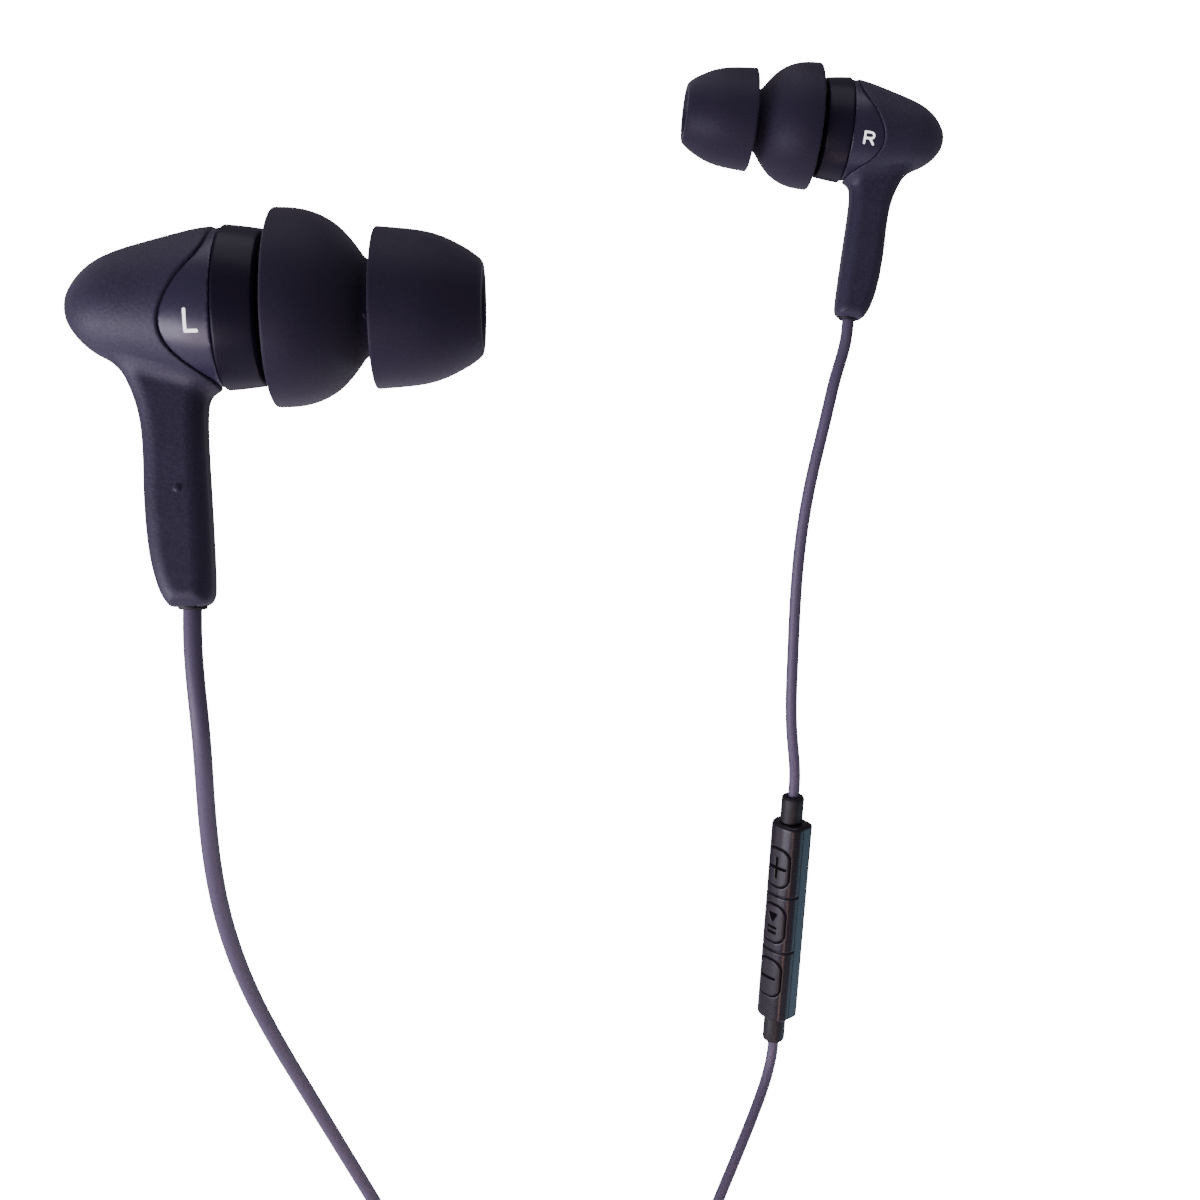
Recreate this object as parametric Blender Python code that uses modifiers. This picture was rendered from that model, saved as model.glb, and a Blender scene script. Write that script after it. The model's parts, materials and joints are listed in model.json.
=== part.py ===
"""Wired in-ear earphones with a three-button inline remote, every piece its own object, in metres.

The ear canals hold the two ear tips, and everything else hangs from them. The origin is the centre of
the left ear tip's front opening. +X runs along the left earpiece out of its tip, +Y from the left
earpiece back to the right one, and +Z is up. The cord's spare length is folded into a tied hank.
"""

import math

import bmesh
import bpy
import numpy as np
from mathutils import Matrix, Vector

MM = 0.001
HOUSING_SIDES = 20
SMALL_SIDES = 16
TINY_SIDES = 12

# Where each earpiece is held: the origin of its frame in mm, then its turns in degrees. In an
# earpiece's frame the trim ring's front is at x = 0, the tip is at +x and the stem runs down -z.
EARPIECES = {
    "left": ((-14.9, 0.0, 0.0), 0.0, 0.0),
    "right": ((31.7, 78.9, 4.5), 5.2, 184.1),
}
STEM_SWING = -20.0
TIP_LENGTH = 14.9

# Housing: this bullet turned about x, with a flat stem below it.
BULLET = [
    (-2.58, 5.5), (-4.2, 5.33), (-5.4, 5.04), (-6.6, 4.73), (-7.8, 4.41), (-9.0, 4.08), (-10.2, 3.68),
    (-11.2, 3.2), (-12.1, 2.52), (-12.8, 1.72), (-13.25, 0.95), (-13.4, 0.0),
]  # fmt: skip
STEM_THICKNESS = 3.8
STEM_CHAMFER = 0.8
STEM_OUTLINE = [
    (-10.0, -2.6), (-9.31, -4.54), (-8.65, -5.83), (-8.12, -7.69), (-7.94, -10.0), (-7.9, -13.1),
    (-7.58, -16.6), (-6.95, -19.0), (-6.3, -20.05), (-5.9, -20.25), (-3.9, -20.25), (-3.36, -19.8),
    (-3.24, -18.86), (-3.54, -13.1), (-3.8, -9.0), (-3.82, -6.6), (-3.5, -5.83), (-3.1, -5.2),
    (-3.1, -2.6),
]  # fmt: skip
STEM_BOTTOM = -20.25
# The soft-touch rear housing ends along this line, where the smooth front shell shows as a petal.
PETAL_EDGE = [
    (-3.1, 8.0), (-3.15, 4.8), (-3.35, 3.5), (-3.8, 2.7), (-4.35, 2.05), (-4.9, 1.35), (-5.4, 0.55),
    (-5.85, -0.35), (-6.1, -1.15), (-6.15, -1.85), (-5.95, -2.6), (-5.5, -3.3), (-4.85, -3.9),
    (-4.05, -4.45), (-3.3, -4.95), (-2.9, -5.3), (-2.75, -5.9),
]  # fmt: skip
PETAL_GAP = 0.12
PETAL_STEP = 0.15
CORD_X = -4.76
BUSH_RADIUS = 1.0
BUSH_LENGTH = 3.1
BUSH_PROUD = 0.12
CHANNEL_X = -5.4

# Cords, in mm.
CORD_DIAMETER = 1.3
MAIN_DIAMETER = 1.6
FACE_GAP = 0.1
LEFT_CORD = [
    (-19.4, -8.7, -27.0), (-19.8, -7.2, -33.3), (-20.4, -3.6, -42.4), (-20.2, 2.5, -53.9),
    (-18.3, 12.0, -69.8), (-14.4, 23.0, -90.6), (-3.5, 31.5, -117.5), (5.2, 35.6, -128.8),
    (9.7, 37.2, -135.3), (10.9, 37.5, -140.1),
]  # fmt: skip
RIGHT_UPPER_CORD = [
    (33.3, 69.6, -20.5), (32.35, 68.5, -24.4), (30.8, 67.5, -31.7), (29.7, 66.7, -40.6),
    (29.4, 66.0, -52.2), (29.6, 65.6, -61.0),
]  # fmt: skip
RIGHT_LOWER_CORD = [
    (25.9, 60.5, -109.6), (21.7, 54.5, -116.6), (16.2, 47.6, -126.5), (12.2, 41.7, -134.6),
    (11.1, 39.3, -140.1),
]  # fmt: skip
EXIT_RUN = 2.2

# Inline remote, in its own frame: x across the button face, -y out of it, z up the cord.
REMOTE_CENTRE = (29.37, 65.2, -84.7)
REMOTE_TILT = (-2.1, 2.47)
REMOTE_TURN = -48.6
REMOTE_SIZE = (4.2, 3.7, 25.3)
REMOTE_CORNER = 0.8
REMOTE_CROWN = 2.7
REMOTE_END_ROUND = 0.45
REMOTE_CAVITY = ((-1.45, -1.0, -12.0), (1.45, 1.2, 12.0))
REMOTE_SEAM = 0.06
SLEEVE_RADIUS = 1.3
SLEEVE_NECK = 0.8
SLEEVE_LENGTHS = {"top": 3.2, "bottom": 3.3}
BUTTON_HEIGHTS = {"volume_up": 7.3, "play_pause": 0.15, "volume_down": -6.95}
WINDOW_SIZE = (3.3, 4.9)
WINDOW_ROUND = 1.2
BUTTON_GAP = 0.08
BUTTON_PROUD = 0.08
BUTTON_PLATE = (2.7, 5.6)
MICROPHONE_Z = -10.2

# Hank: turns of cord side by side in rings and in layers, squeezed at the middle by the tie.
HANK_CENTRE = (-0.7, 40.0, -160.0)
HANK_RUN = 27.0
HANK_INNER_RADIUS = 4.9
HANK_RINGS = 5
HANK_LAYERS = 4
RING_PITCH = 1.7
LAYER_PITCH = 1.65
HANK_WAIST = 3.0
TIE_WIDTH = 6.0
TIE_THICKNESS = 1.2
TIE_GAP = 0.3
SPLITTER_SIZE = (4.4, 2.8, 13.0)
SPLITTER_OFFSET = (5.9, -14.6)
PLUG_DROP = 12.0

AXIS_TO_X = Matrix.Rotation(math.radians(90), 4, "Y")
OUTLINE_TO_XZ = Matrix.Rotation(math.radians(90), 4, "X")


def degrees_about(axis, angle):
    return Matrix.Rotation(math.radians(angle), 4, axis)


def collection(name):
    made = bpy.data.collections.new(name)
    bpy.context.scene.collection.children.link(made)
    return made


def material(name, color, roughness, metallic=0.0):
    made = bpy.data.materials.new(name)
    made.use_nodes = True
    shader = made.node_tree.nodes["Principled BSDF"]
    shader.inputs["Base Color"].default_value = (*color, 1.0)
    shader.inputs["Roughness"].default_value = roughness
    shader.inputs["Metallic"].default_value = metallic
    return made


def clear_scene():
    for obj in list(bpy.data.objects):
        bpy.data.objects.remove(obj, do_unlink=True)


clear_scene()
PARTS = collection("wired_earphones")
CUTTERS = collection("cutters")
SOFT_TOUCH = material("soft_touch_plastic", (0.03, 0.028, 0.042), 0.55)
SMOOTH = material("smooth_plastic", (0.05, 0.047, 0.065), 0.4)
SATIN = material("satin_ring", (0.025, 0.02, 0.028), 0.35)
SILICONE = material("silicone", (0.028, 0.028, 0.04), 0.5)
CABLE = material("cable_jacket", (0.075, 0.062, 0.1), 0.45)
RUBBER = material("moulded_rubber", (0.03, 0.03, 0.034), 0.55)
REMOTE_PLASTIC = material("remote_plastic", (0.035, 0.036, 0.042), 0.4)
STEEL = material("plated_steel", (0.6, 0.6, 0.6), 0.3, 1.0)
BOARD = material("circuit_board", (0.03, 0.12, 0.06), 0.5)
FILM = material("diaphragm_film", (0.5, 0.45, 0.35), 0.3)
COPPER = material("copper_winding", (0.7, 0.35, 0.2), 0.35, 1.0)
INSULATOR = material("plug_insulator", (0.02, 0.02, 0.02), 0.5)


def add(name, data, mat, parent=None, matrix=None, cutter=False):
    """An object of this data, in the parts' or the cutters' collection, placed in its parent's frame."""
    obj = bpy.data.objects.new(name, data)
    (CUTTERS if cutter else PARTS).objects.link(obj)
    obj.parent = parent
    obj.matrix_basis = matrix or Matrix.Identity(4)
    if cutter:
        obj.hide_render = True
        obj.display_type = "WIRE"
    elif data.materials:
        data.materials[0] = mat
    else:
        data.materials.append(mat)
    return obj


def frame_empty(name, matrix):
    empty = bpy.data.objects.new(name, None)
    PARTS.objects.link(empty)
    empty.matrix_basis = matrix
    bpy.context.view_layer.update()
    return empty


def turned(name, profile, mat=None, parent=None, matrix=AXIS_TO_X, sides=HOUSING_SIDES, ring=True,
           cutter=False):  # fmt: skip
    """Turns (height, radius) points in mm, listed down the outer side, about the object's z axis."""
    mesh = bpy.data.meshes.new(name)
    points = [(radius * MM, 0.0, height * MM) for height, radius in profile]
    edges = [(i, i + 1) for i in range(len(points) - 1)]
    if ring:
        edges.append((len(points) - 1, 0))
    mesh.from_pydata(points, edges, [])
    obj = add(name, mesh, mat, parent, matrix, cutter)
    screw = obj.modifiers.new("turn", "SCREW")
    screw.steps = screw.render_steps = sides
    screw.use_merge_vertices = True
    screw.merge_threshold = 1e-6
    screw.use_smooth_shade = True
    return obj


def box(name, low, high, mat=None, parent=None, matrix=None, cutter=False, bevel=0.0, segments=2):
    """A box between two corners in mm, its edges rounded where a bevel is given."""
    mesh = bpy.data.meshes.new(name)
    cube = bmesh.new()
    bmesh.ops.create_cube(cube, size=1.0)
    low, high = Vector(low) * MM, Vector(high) * MM
    bmesh.ops.scale(cube, vec=high - low, verts=cube.verts)
    bmesh.ops.translate(cube, vec=(low + high) / 2, verts=cube.verts)
    cube.to_mesh(mesh)
    cube.free()
    obj = add(name, mesh, mat, parent, matrix, cutter)
    if bevel:
        edge_round(obj, bevel, segments)
    return obj


def edge_round(obj, width, segments, angle=60.0):
    bevel = obj.modifiers.new("edge_round", "BEVEL")
    bevel.width = width * MM
    bevel.segments = segments
    bevel.limit_method = "ANGLE"
    bevel.angle_limit = math.radians(angle)


def evaluated_mesh(obj):
    bpy.context.view_layer.update()
    graph = bpy.context.evaluated_depsgraph_get()
    return bpy.data.meshes.new_from_object(obj.evaluated_get(graph))


def outline(name, loops, half_depth, mat=None, parent=None, matrix=None, cutter=False):
    """A flat outline of closed loops in mm, given thickness, as a mesh that Booleans can use."""
    curve = bpy.data.curves.new(name, "CURVE")
    curve.dimensions = "2D"
    curve.fill_mode = "BOTH"
    curve.extrude = half_depth * MM
    for loop in loops:
        spline = curve.splines.new("POLY")
        spline.points.add(len(loop) - 1)
        for point, (x, y) in zip(spline.points, loop):
            point.co = (x * MM, y * MM, 0.0, 1.0)
        spline.use_cyclic_u = True
    drawn = bpy.data.objects.new(name, curve)
    CUTTERS.objects.link(drawn)
    mesh = evaluated_mesh(drawn)
    bpy.data.objects.remove(drawn, do_unlink=True)
    welded = bmesh.new()
    welded.from_mesh(mesh)
    bmesh.ops.remove_doubles(welded, verts=welded.verts, dist=1e-6)
    bmesh.ops.recalc_face_normals(welded, faces=welded.faces)
    welded.to_mesh(mesh)
    welded.free()
    return add(name, mesh, mat, parent, matrix, cutter)


def boolean(obj, other, operation="DIFFERENCE"):
    modifier = obj.modifiers.new(operation.lower(), "BOOLEAN")
    modifier.operation = operation
    modifier.object = other
    modifier.solver = "EXACT"


def apply_modifiers(obj):
    mesh = evaluated_mesh(obj)
    obj.modifiers.clear()
    obj.data = mesh
    return obj


def shade_all_parts():
    for obj in PARTS.objects:
        if obj.type != "MESH":
            continue
        apply_modifiers(obj)
        obj.data.shade_smooth()
        obj.data.set_sharp_from_angle(angle=math.radians(35))


def smooth_route(points, spacing):
    """Points at this spacing on the natural cubic curve through the given points, all in mm."""
    points = np.array(points, float)
    steps = np.linalg.norm(np.diff(points, axis=0), axis=1)
    along = np.concatenate([[0.0], np.cumsum(steps)])
    count = len(points)
    system = np.eye(count)
    right = np.zeros((count, 3))
    for i in range(1, count - 1):
        before, after = steps[i - 1], steps[i]
        system[i, i - 1 : i + 2] = before, 2 * (before + after), after
        right[i] = 6 * ((points[i + 1] - points[i]) / after - (points[i] - points[i - 1]) / before)
    bend = np.linalg.solve(system, right)
    at = np.linspace(0.0, along[-1], max(2, round(along[-1] / spacing) + 1))
    span = np.clip(np.searchsorted(along, at) - 1, 0, count - 2)
    width = steps[span][:, None]
    to_next = (along[span + 1] - at)[:, None]
    from_last = (at - along[span])[:, None]
    curve = (bend[span] * to_next**3 + bend[span + 1] * from_last**3) / (6 * width)
    curve += (points[span] / width - bend[span] * width / 6) * to_next
    curve += (points[span + 1] / width - bend[span + 1] * width / 6) * from_last
    return curve


def cord(name, points, diameter):
    """A plain tube along a cord's free stretch."""
    curve = bpy.data.curves.new(name, "CURVE")
    curve.dimensions = "3D"
    curve.bevel_depth = diameter / 2 * MM
    curve.bevel_resolution = 2
    curve.use_fill_caps = True
    route = smooth_route(points, 2.6 * diameter)
    spline = curve.splines.new("POLY")
    spline.points.add(len(route) - 1)
    for point, place in zip(spline.points, route):
        point.co = (*(place * MM), 1.0)
    return add(name, curve, CABLE)


def in_mm(matrix, point):
    """A point of a frame, in mm, as world mm."""
    return tuple(matrix @ (Vector(point) * MM) / MM)


def earpiece_frame(side):
    origin, roll, turn = EARPIECES[side]
    place = Matrix.Translation(Vector(origin) * MM)
    return place @ degrees_about("X", STEM_SWING) @ degrees_about("Y", roll) @ degrees_about("Z", turn)


def remote_frame():
    place = Matrix.Translation(Vector(REMOTE_CENTRE) * MM)
    tilt_x, tilt_y = REMOTE_TILT
    return place @ degrees_about("X", tilt_x) @ degrees_about("Y", tilt_y) @ degrees_about("Z", REMOTE_TURN)


def petal_region(name, gap, parent):
    """Everything in front of the petal's edge, as a cutter."""
    edge = [(x + gap, z) for x, z in PETAL_EDGE]
    return outline(name, [edge + [(2.0, -5.9), (2.0, 8.0)]], 7.0, None, parent, OUTLINE_TO_XZ, True)


def rear_housing(side, parent):
    name = side + "_rear_housing"
    housing = turned(name, [(BULLET[0][0], 0.0)] + BULLET, SOFT_TOUCH, parent, ring=False)
    stem = outline(side + "_stem", [STEM_OUTLINE], STEM_THICKNESS / 2, None, parent, OUTLINE_TO_XZ, True)
    edge_round(stem, STEM_CHAMFER, 2)
    inside = [(-2.0, 0.0), (-2.0, 4.35), (-5.6, 4.35), (-7.4, 3.9), (-10.0, 3.0), (-11.8, 1.7), (-12.4, 0.0)]
    cavity = turned(side + "_cavity", inside, parent=parent, ring=False, cutter=True)
    pocket = vertical_bore(side + "_cord_pocket", CORD_X, BUSH_RADIUS + 0.05, -22.0, -17.2, parent)
    channel = vertical_bore(side + "_wire_channel", CHANNEL_X, 1.0, -17.9, -3.0, parent)
    boolean(housing, stem, "UNION")
    for cutter in (cavity, petal_region(side + "_petal_cut", 0.0, parent), pocket, channel):
        boolean(housing, cutter)


def vertical_bore(name, x, radius, low, high, parent):
    profile = [(high, 0.0), (high, radius), (low, radius), (low, 0.0)]
    at = Matrix.Translation((x * MM, 0.0, 0.0))
    return turned(name, profile, None, parent, at, TINY_SIDES, False, True)


def front_shell(side, parent):
    """The petal's skin, joined to the spigot that plugs into the rear housing and into the ring."""
    skin = [(height, radius - PETAL_STEP) for height, radius in BULLET if height > -7.0]
    skin += [(skin[-1][0], 4.0), (skin[0][0], 4.0)]
    shell = turned(side + "_front_shell", skin, SMOOTH, parent)
    boolean(shell, petal_region(side + "_petal_keep", PETAL_GAP, parent), "INTERSECT")
    spigot = [(-1.35, 4.45), (-2.9, 4.45), (-2.9, 4.28), (-5.5, 4.28), (-5.5, 3.95), (-1.35, 3.95)]
    boolean(shell, turned(side + "_spigot", spigot, parent=parent, cutter=True), "UNION")


def trim_ring(side, parent):
    outside = [(0.35, 5.05), (0.1, 5.28), (-1.2, 5.46), (-2.5, 5.56)]
    inside = [(-2.5, 4.6), (-0.4, 4.6), (-0.4, 3.6), (0.0, 3.6), (0.0, 4.8), (0.35, 4.8)]
    turned(side + "_trim_ring", outside + inside, SATIN, parent)


def nozzle(side, parent):
    outside = [(6.0, 2.45), (5.6, 2.85), (4.6, 2.85), (4.4, 2.6), (-0.45, 2.6), (-0.45, 4.5)]
    inside = [(-1.25, 4.5), (-1.25, 1.9), (6.0, 1.9)]
    turned(side + "_nozzle", outside + inside, SMOOTH, parent, sides=SMALL_SIDES)
    mesh = [(5.6, 0.0), (5.6, 1.85), (5.4, 1.85), (5.4, 0.0)]
    turned(side + "_nozzle_mesh", mesh, STEEL, parent, sides=TINY_SIDES, ring=False)


def driver(side, parent):
    frame = [(-3.4, 3.85), (-5.6, 3.85), (-5.6, 3.05), (-4.4, 3.05), (-4.4, 3.4), (-3.4, 3.4)]
    magnet = [(-4.6, 0.0), (-4.6, 1.5), (-5.7, 1.5), (-5.7, 1.95), (-4.6, 1.95), (-4.6, 3.0)]
    magnet += [(-7.1, 3.0), (-7.1, 0.0)]
    coil = [(-4.05, 1.82), (-5.5, 1.82), (-5.5, 1.62), (-4.05, 1.62)]
    film = [(-3.4, 0.0), (-3.6, 1.1), (-3.87, 1.75), (-3.6, 2.5), (-3.85, 3.35)]
    film += [(height - 0.12, radius) for height, radius in reversed(film)]
    turned(side + "_driver_frame", frame, STEEL, parent, sides=SMALL_SIDES)
    turned(side + "_driver_magnet", magnet, STEEL, parent, sides=SMALL_SIDES, ring=False)
    turned(side + "_voice_coil", coil, COPPER, parent, sides=TINY_SIDES)
    turned(side + "_diaphragm", film, FILM, parent, sides=SMALL_SIDES, ring=False)


def ear_tip(side, parent):
    """One silicone piece: a tube over the nozzle with a large and a small flange bent back from it."""
    small = [(14.9, 2.5), (14.9, 3.0), (14.6, 3.4), (13.9, 3.93), (12.4, 4.7), (10.75, 5.2), (7.65, 5.45)]
    under_small = [(7.62, 5.0), (10.75, 4.6), (11.7, 4.0), (11.8, 3.0), (8.0, 3.05)]
    large = [(7.03, 3.2), (6.2, 4.37), (5.17, 5.5), (3.93, 6.26), (2.48, 6.67), (0.87, 6.7)]
    under_large = [(0.85, 6.25), (2.4, 6.15), (3.8, 5.7), (4.9, 4.85), (5.1, 3.7), (0.25, 3.5)]
    bore = [(0.25, 2.93), (6.15, 2.93), (6.3, 1.9), (13.6, 1.9), (14.6, 2.2)]
    turned(side + "_ear_tip", small + under_small + large + under_large + bore, SILICONE, parent)


def cord_bush(side, parent):
    low = STEM_BOTTOM - BUSH_PROUD
    high = low + BUSH_LENGTH
    bore = CORD_DIAMETER / 2 + 0.03
    profile = [(high, BUSH_RADIUS), (STEM_BOTTOM + 0.05, BUSH_RADIUS), (low, BUSH_RADIUS - 0.1)]
    profile += [(low, bore), (high, bore)]
    at = Matrix.Translation((CORD_X * MM, 0.0, 0.0))
    turned(side + "_cord_bush", profile, RUBBER, parent, at, TINY_SIDES)


def earpiece(side):
    parent = frame_empty(side + "_earpiece", earpiece_frame(side))
    for piece in (rear_housing, front_shell, trim_ring, nozzle, driver, ear_tip, cord_bush):
        piece(side, parent)


def cord_exit(side, beyond=0.0):
    """World mm of the point below a stem's bush where its cord starts, or further down that line."""
    low = STEM_BOTTOM - BUSH_PROUD - FACE_GAP - beyond
    return in_mm(earpiece_frame(side), (CORD_X, 0.0, low))


def case_section(grown, steps=16, arc=4):
    """The remote across: a crowned front, and a flat back between round corners."""
    half_x, half_y = (side / 2 + grown for side in REMOTE_SIZE[:2])
    points = []
    for i in range(steps + 1):
        angle = math.pi * i / steps
        across = math.copysign(abs(math.cos(angle)) ** (2 / REMOTE_CROWN), math.cos(angle))
        points.append((-half_x * across, -half_y * math.sin(angle) ** (2 / REMOTE_CROWN)))
    radius = REMOTE_CORNER + grown
    for side in (1, -1):
        for i in range(arc + 1):
            angle = math.radians(90) * (i if side == 1 else arc - i) / arc
            x = half_x - radius + radius * math.cos(angle)
            points.append((side * x, half_y - radius + radius * math.sin(angle)))
    return points


def remote_bar(name, grown, mat=None, parent=None, cutter=False):
    """The remote's body: an upright bar of that section, with softened ends."""
    bar = outline(name, [case_section(grown)], REMOTE_SIZE[2] / 2 + grown, mat, parent, None, cutter)
    edge_round(bar, REMOTE_END_ROUND, 2)
    return bar


def rounded_rectangle(width, height, radius, arc=3):
    """Points of an upright rectangle with round corners, in mm."""
    points = []
    for corner in range(4):
        x = (width / 2 - radius) * (1 if corner in (0, 3) else -1)
        y = (height / 2 - radius) * (1 if corner in (0, 1) else -1)
        for i in range(arc + 1):
            angle = math.radians(90) * (corner + i / arc)
            points.append((x + radius * math.cos(angle), y + radius * math.sin(angle)))
    return points


def front_prism(name, width, height, radius, z, y_far, y_near, parent, cutter=True, mat=None):
    """A rounded rectangle facing the remote's buttons, between two depths."""
    at = Matrix.Translation((0.0, (y_far + y_near) / 2 * MM, z * MM)) @ OUTLINE_TO_XZ
    loop = rounded_rectangle(width, height, radius)
    return outline(name, [loop], abs(y_far - y_near) / 2, mat, parent, at, cutter)


def remote_shell(name, keep_front, parent):
    """Half of the remote's case, hollow, with its share of the holes for the sleeves' necks."""
    shell = remote_bar(name, 0.0, REMOTE_PLASTIC, parent)
    seam = -REMOTE_SEAM / 2 if keep_front else REMOTE_SEAM / 2
    low, high = ((-5, seam, -15), (5, 5, 15)) if keep_front else ((-5, -5, -15), (5, seam, 15))
    boolean(shell, box(name + "_other_half", low, high, parent=parent, cutter=True))
    boolean(shell, box(name + "_cavity", *REMOTE_CAVITY, parent=parent, cutter=True))
    for end in (-1, 1):
        hole = [(14.0, 0.0), (14.0, 0.85), (11.0, 0.85), (11.0, 0.0)]
        turn = Matrix.Identity(4) if end > 0 else degrees_about("X", 180)
        neck = turned(f"{name}_neck_{end}", hole, None, parent, turn, TINY_SIDES, False, True)
        boolean(shell, neck)
    return shell


def button(name, z, parent):
    """A cap that follows the remote's surface, on a core with a plate that the shell keeps in."""
    place = frame_empty("remote_" + name, parent.matrix_world @ Matrix.Translation((0, 0, z * MM)))
    width, height = (side - 2 * BUTTON_GAP for side in WINDOW_SIZE)
    radius = WINDOW_ROUND - BUTTON_GAP
    cap = front_prism("remote_button_" + name, width, height, radius, 0, -3.0, -1.22, place, False,
                      REMOTE_PLASTIC)  # fmt: skip
    skin = remote_bar(name + "_skin", BUTTON_PROUD, parent=parent, cutter=True)
    core_width, plate_height = BUTTON_PLATE
    core = box(name + "_core", (-core_width / 2, -1.35, -height / 2 + 0.5),
               (core_width / 2, -0.5, height / 2 - 0.5), parent=place, cutter=True)  # fmt: skip
    plate = box(name + "_plate", (-core_width / 2, -0.9, -plate_height / 2),
                (core_width / 2, -0.5, plate_height / 2), parent=place, cutter=True)  # fmt: skip
    boolean(cap, skin, "INTERSECT")
    boolean(cap, core, "UNION")
    boolean(cap, plate, "UNION")


def sleeve(end, parent):
    """The moulded sleeve where the cord enters the remote, held in the shells by its neck."""
    half = REMOTE_SIZE[2] / 2
    tip = half + SLEEVE_LENGTHS[end]
    bore = CORD_DIAMETER / 2 + 0.03
    profile = [(tip, SLEEVE_RADIUS - 0.2), (tip - 0.2, SLEEVE_RADIUS), (half + 0.05, SLEEVE_RADIUS)]
    profile += [(half + 0.05, SLEEVE_NECK), (half - 0.75, SLEEVE_NECK), (half - 0.75, 0.97)]
    profile += [(half - 1.25, 0.97), (half - 1.25, bore), (tip, bore)]
    turn = Matrix.Identity(4) if end == "top" else degrees_about("X", 180)
    turned(f"remote_{end}_sleeve", profile, RUBBER, parent, turn, SMALL_SIDES)


def remote_inside(parent):
    board = box("remote_circuit_board", (-1.35, 0.55, -11.2), (1.35, 1.05, 11.2), BOARD, parent)
    across = Matrix.Translation((0, 0, MICROPHONE_Z * MM)) @ OUTLINE_TO_XZ
    hole = [(3.0, 0.0), (3.0, 0.3), (-3.0, 0.3), (-3.0, 0.0)]
    port = turned("microphone_port", hole, None, parent, across, TINY_SIDES, False, True)
    boolean(board, port)
    box("remote_microphone", (-1.1, -0.15, MICROPHONE_Z - 0.75), (1.1, 0.5, MICROPHONE_Z + 0.75),
        STEEL, parent)  # fmt: skip
    for name, z in BUTTON_HEIGHTS.items():
        box("remote_switch_" + name, (-1.2, -0.15, z - 1.3), (1.2, 0.5, z + 1.3), STEEL, parent)
    return port


def remote():
    parent = frame_empty("remote", remote_frame())
    front = remote_shell("remote_front_shell", True, parent)
    back = remote_shell("remote_back_shell", False, parent)
    boolean(back, remote_inside(parent))
    for name, z in BUTTON_HEIGHTS.items():
        boolean(front, front_prism(name + "_window", *WINDOW_SIZE, WINDOW_ROUND, z, -3.0, -0.9, parent))
        button(name, z, parent)
    for end in SLEEVE_LENGTHS:
        sleeve(end, parent)


def sleeve_end(end, beyond):
    """World mm of a point on the remote's axis beyond a sleeve."""
    up = 1 if end == "top" else -1
    return in_mm(remote_frame(), (0, 0, up * (REMOTE_SIZE[2] / 2 + SLEEVE_LENGTHS[end] + beyond)))


def free_cords():
    left = [cord_exit("left"), cord_exit("left", EXIT_RUN)] + LEFT_CORD
    upper = [cord_exit("right"), cord_exit("right", EXIT_RUN)] + RIGHT_UPPER_CORD
    upper += [sleeve_end("top", EXIT_RUN), sleeve_end("top", FACE_GAP)]
    lower = [sleeve_end("bottom", FACE_GAP), sleeve_end("bottom", EXIT_RUN)] + RIGHT_LOWER_CORD
    cord("cord_left", left, CORD_DIAMETER)
    cord("cord_right_upper", upper, CORD_DIAMETER)
    cord("cord_right_lower", lower, CORD_DIAMETER)


def waist(z):
    """How far the tie squeezes the hank's runs towards its centre line at this height."""
    return HANK_WAIST * (1 + math.cos(2 * math.pi * z / HANK_RUN)) / 2


def hank_outline(radius, arc=8, run=6):
    """A racetrack with a waist: down one run, round the bottom, up the other run, round the top."""
    half = HANK_RUN / 2
    points = []
    for side in (1, -1):
        for i in range(run + 1):
            z = half - HANK_RUN * i / run
            points.append((side * (radius - waist(z)), side * z))
        for i in range(1, arc):
            angle = math.pi * i / arc
            points.append((side * radius * math.cos(angle), side * (-half - radius * math.sin(angle))))
    return points


def hank():
    """The folded cord's outer shape, its tie, the splitter lying on it, and the tail to the plug."""
    at = Matrix.Translation(Vector(HANK_CENTRE) * MM)
    depth = HANK_LAYERS * LAYER_PITCH
    outer = HANK_INNER_RADIUS + (HANK_RINGS - 1) * RING_PITCH + MAIN_DIAMETER / 2
    outline("cord_hank", [hank_outline(outer)], depth / 2, CABLE, matrix=at @ OUTLINE_TO_XZ)
    inner = (2 * (outer - waist(TIE_WIDTH / 2) + TIE_GAP), depth + 2 * FACE_GAP)
    band = rounded_rectangle(inner[0] + 2 * TIE_THICKNESS, inner[1] + 2 * TIE_THICKNESS, 1.5)
    hole = [(x * inner[0] / 2, y * inner[1] / 2) for x, y in ((1, 1), (-1, 1), (-1, -1), (1, -1))]
    outline("hank_tie", [band, hole], TIE_WIDTH / 2, RUBBER, matrix=at)
    width, thickness, height = SPLITTER_SIZE
    x, z = SPLITTER_OFFSET
    y = -depth / 2 - FACE_GAP
    box("splitter", (x - width / 2, y - thickness, z - height / 2), (x + width / 2, y, z + height / 2),
        RUBBER, None, at, bevel=0.8, segments=3)  # fmt: skip


def tail_top():
    """World mm of the point where the main cord leaves the hank's outermost run, in its rear layer."""
    x, y, z = HANK_CENTRE
    outer = HANK_INNER_RADIUS + (HANK_RINGS - 1) * RING_PITCH
    return (x + outer, y + 1.5 * LAYER_PITCH, z - HANK_RUN / 2 - 6.3)


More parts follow.
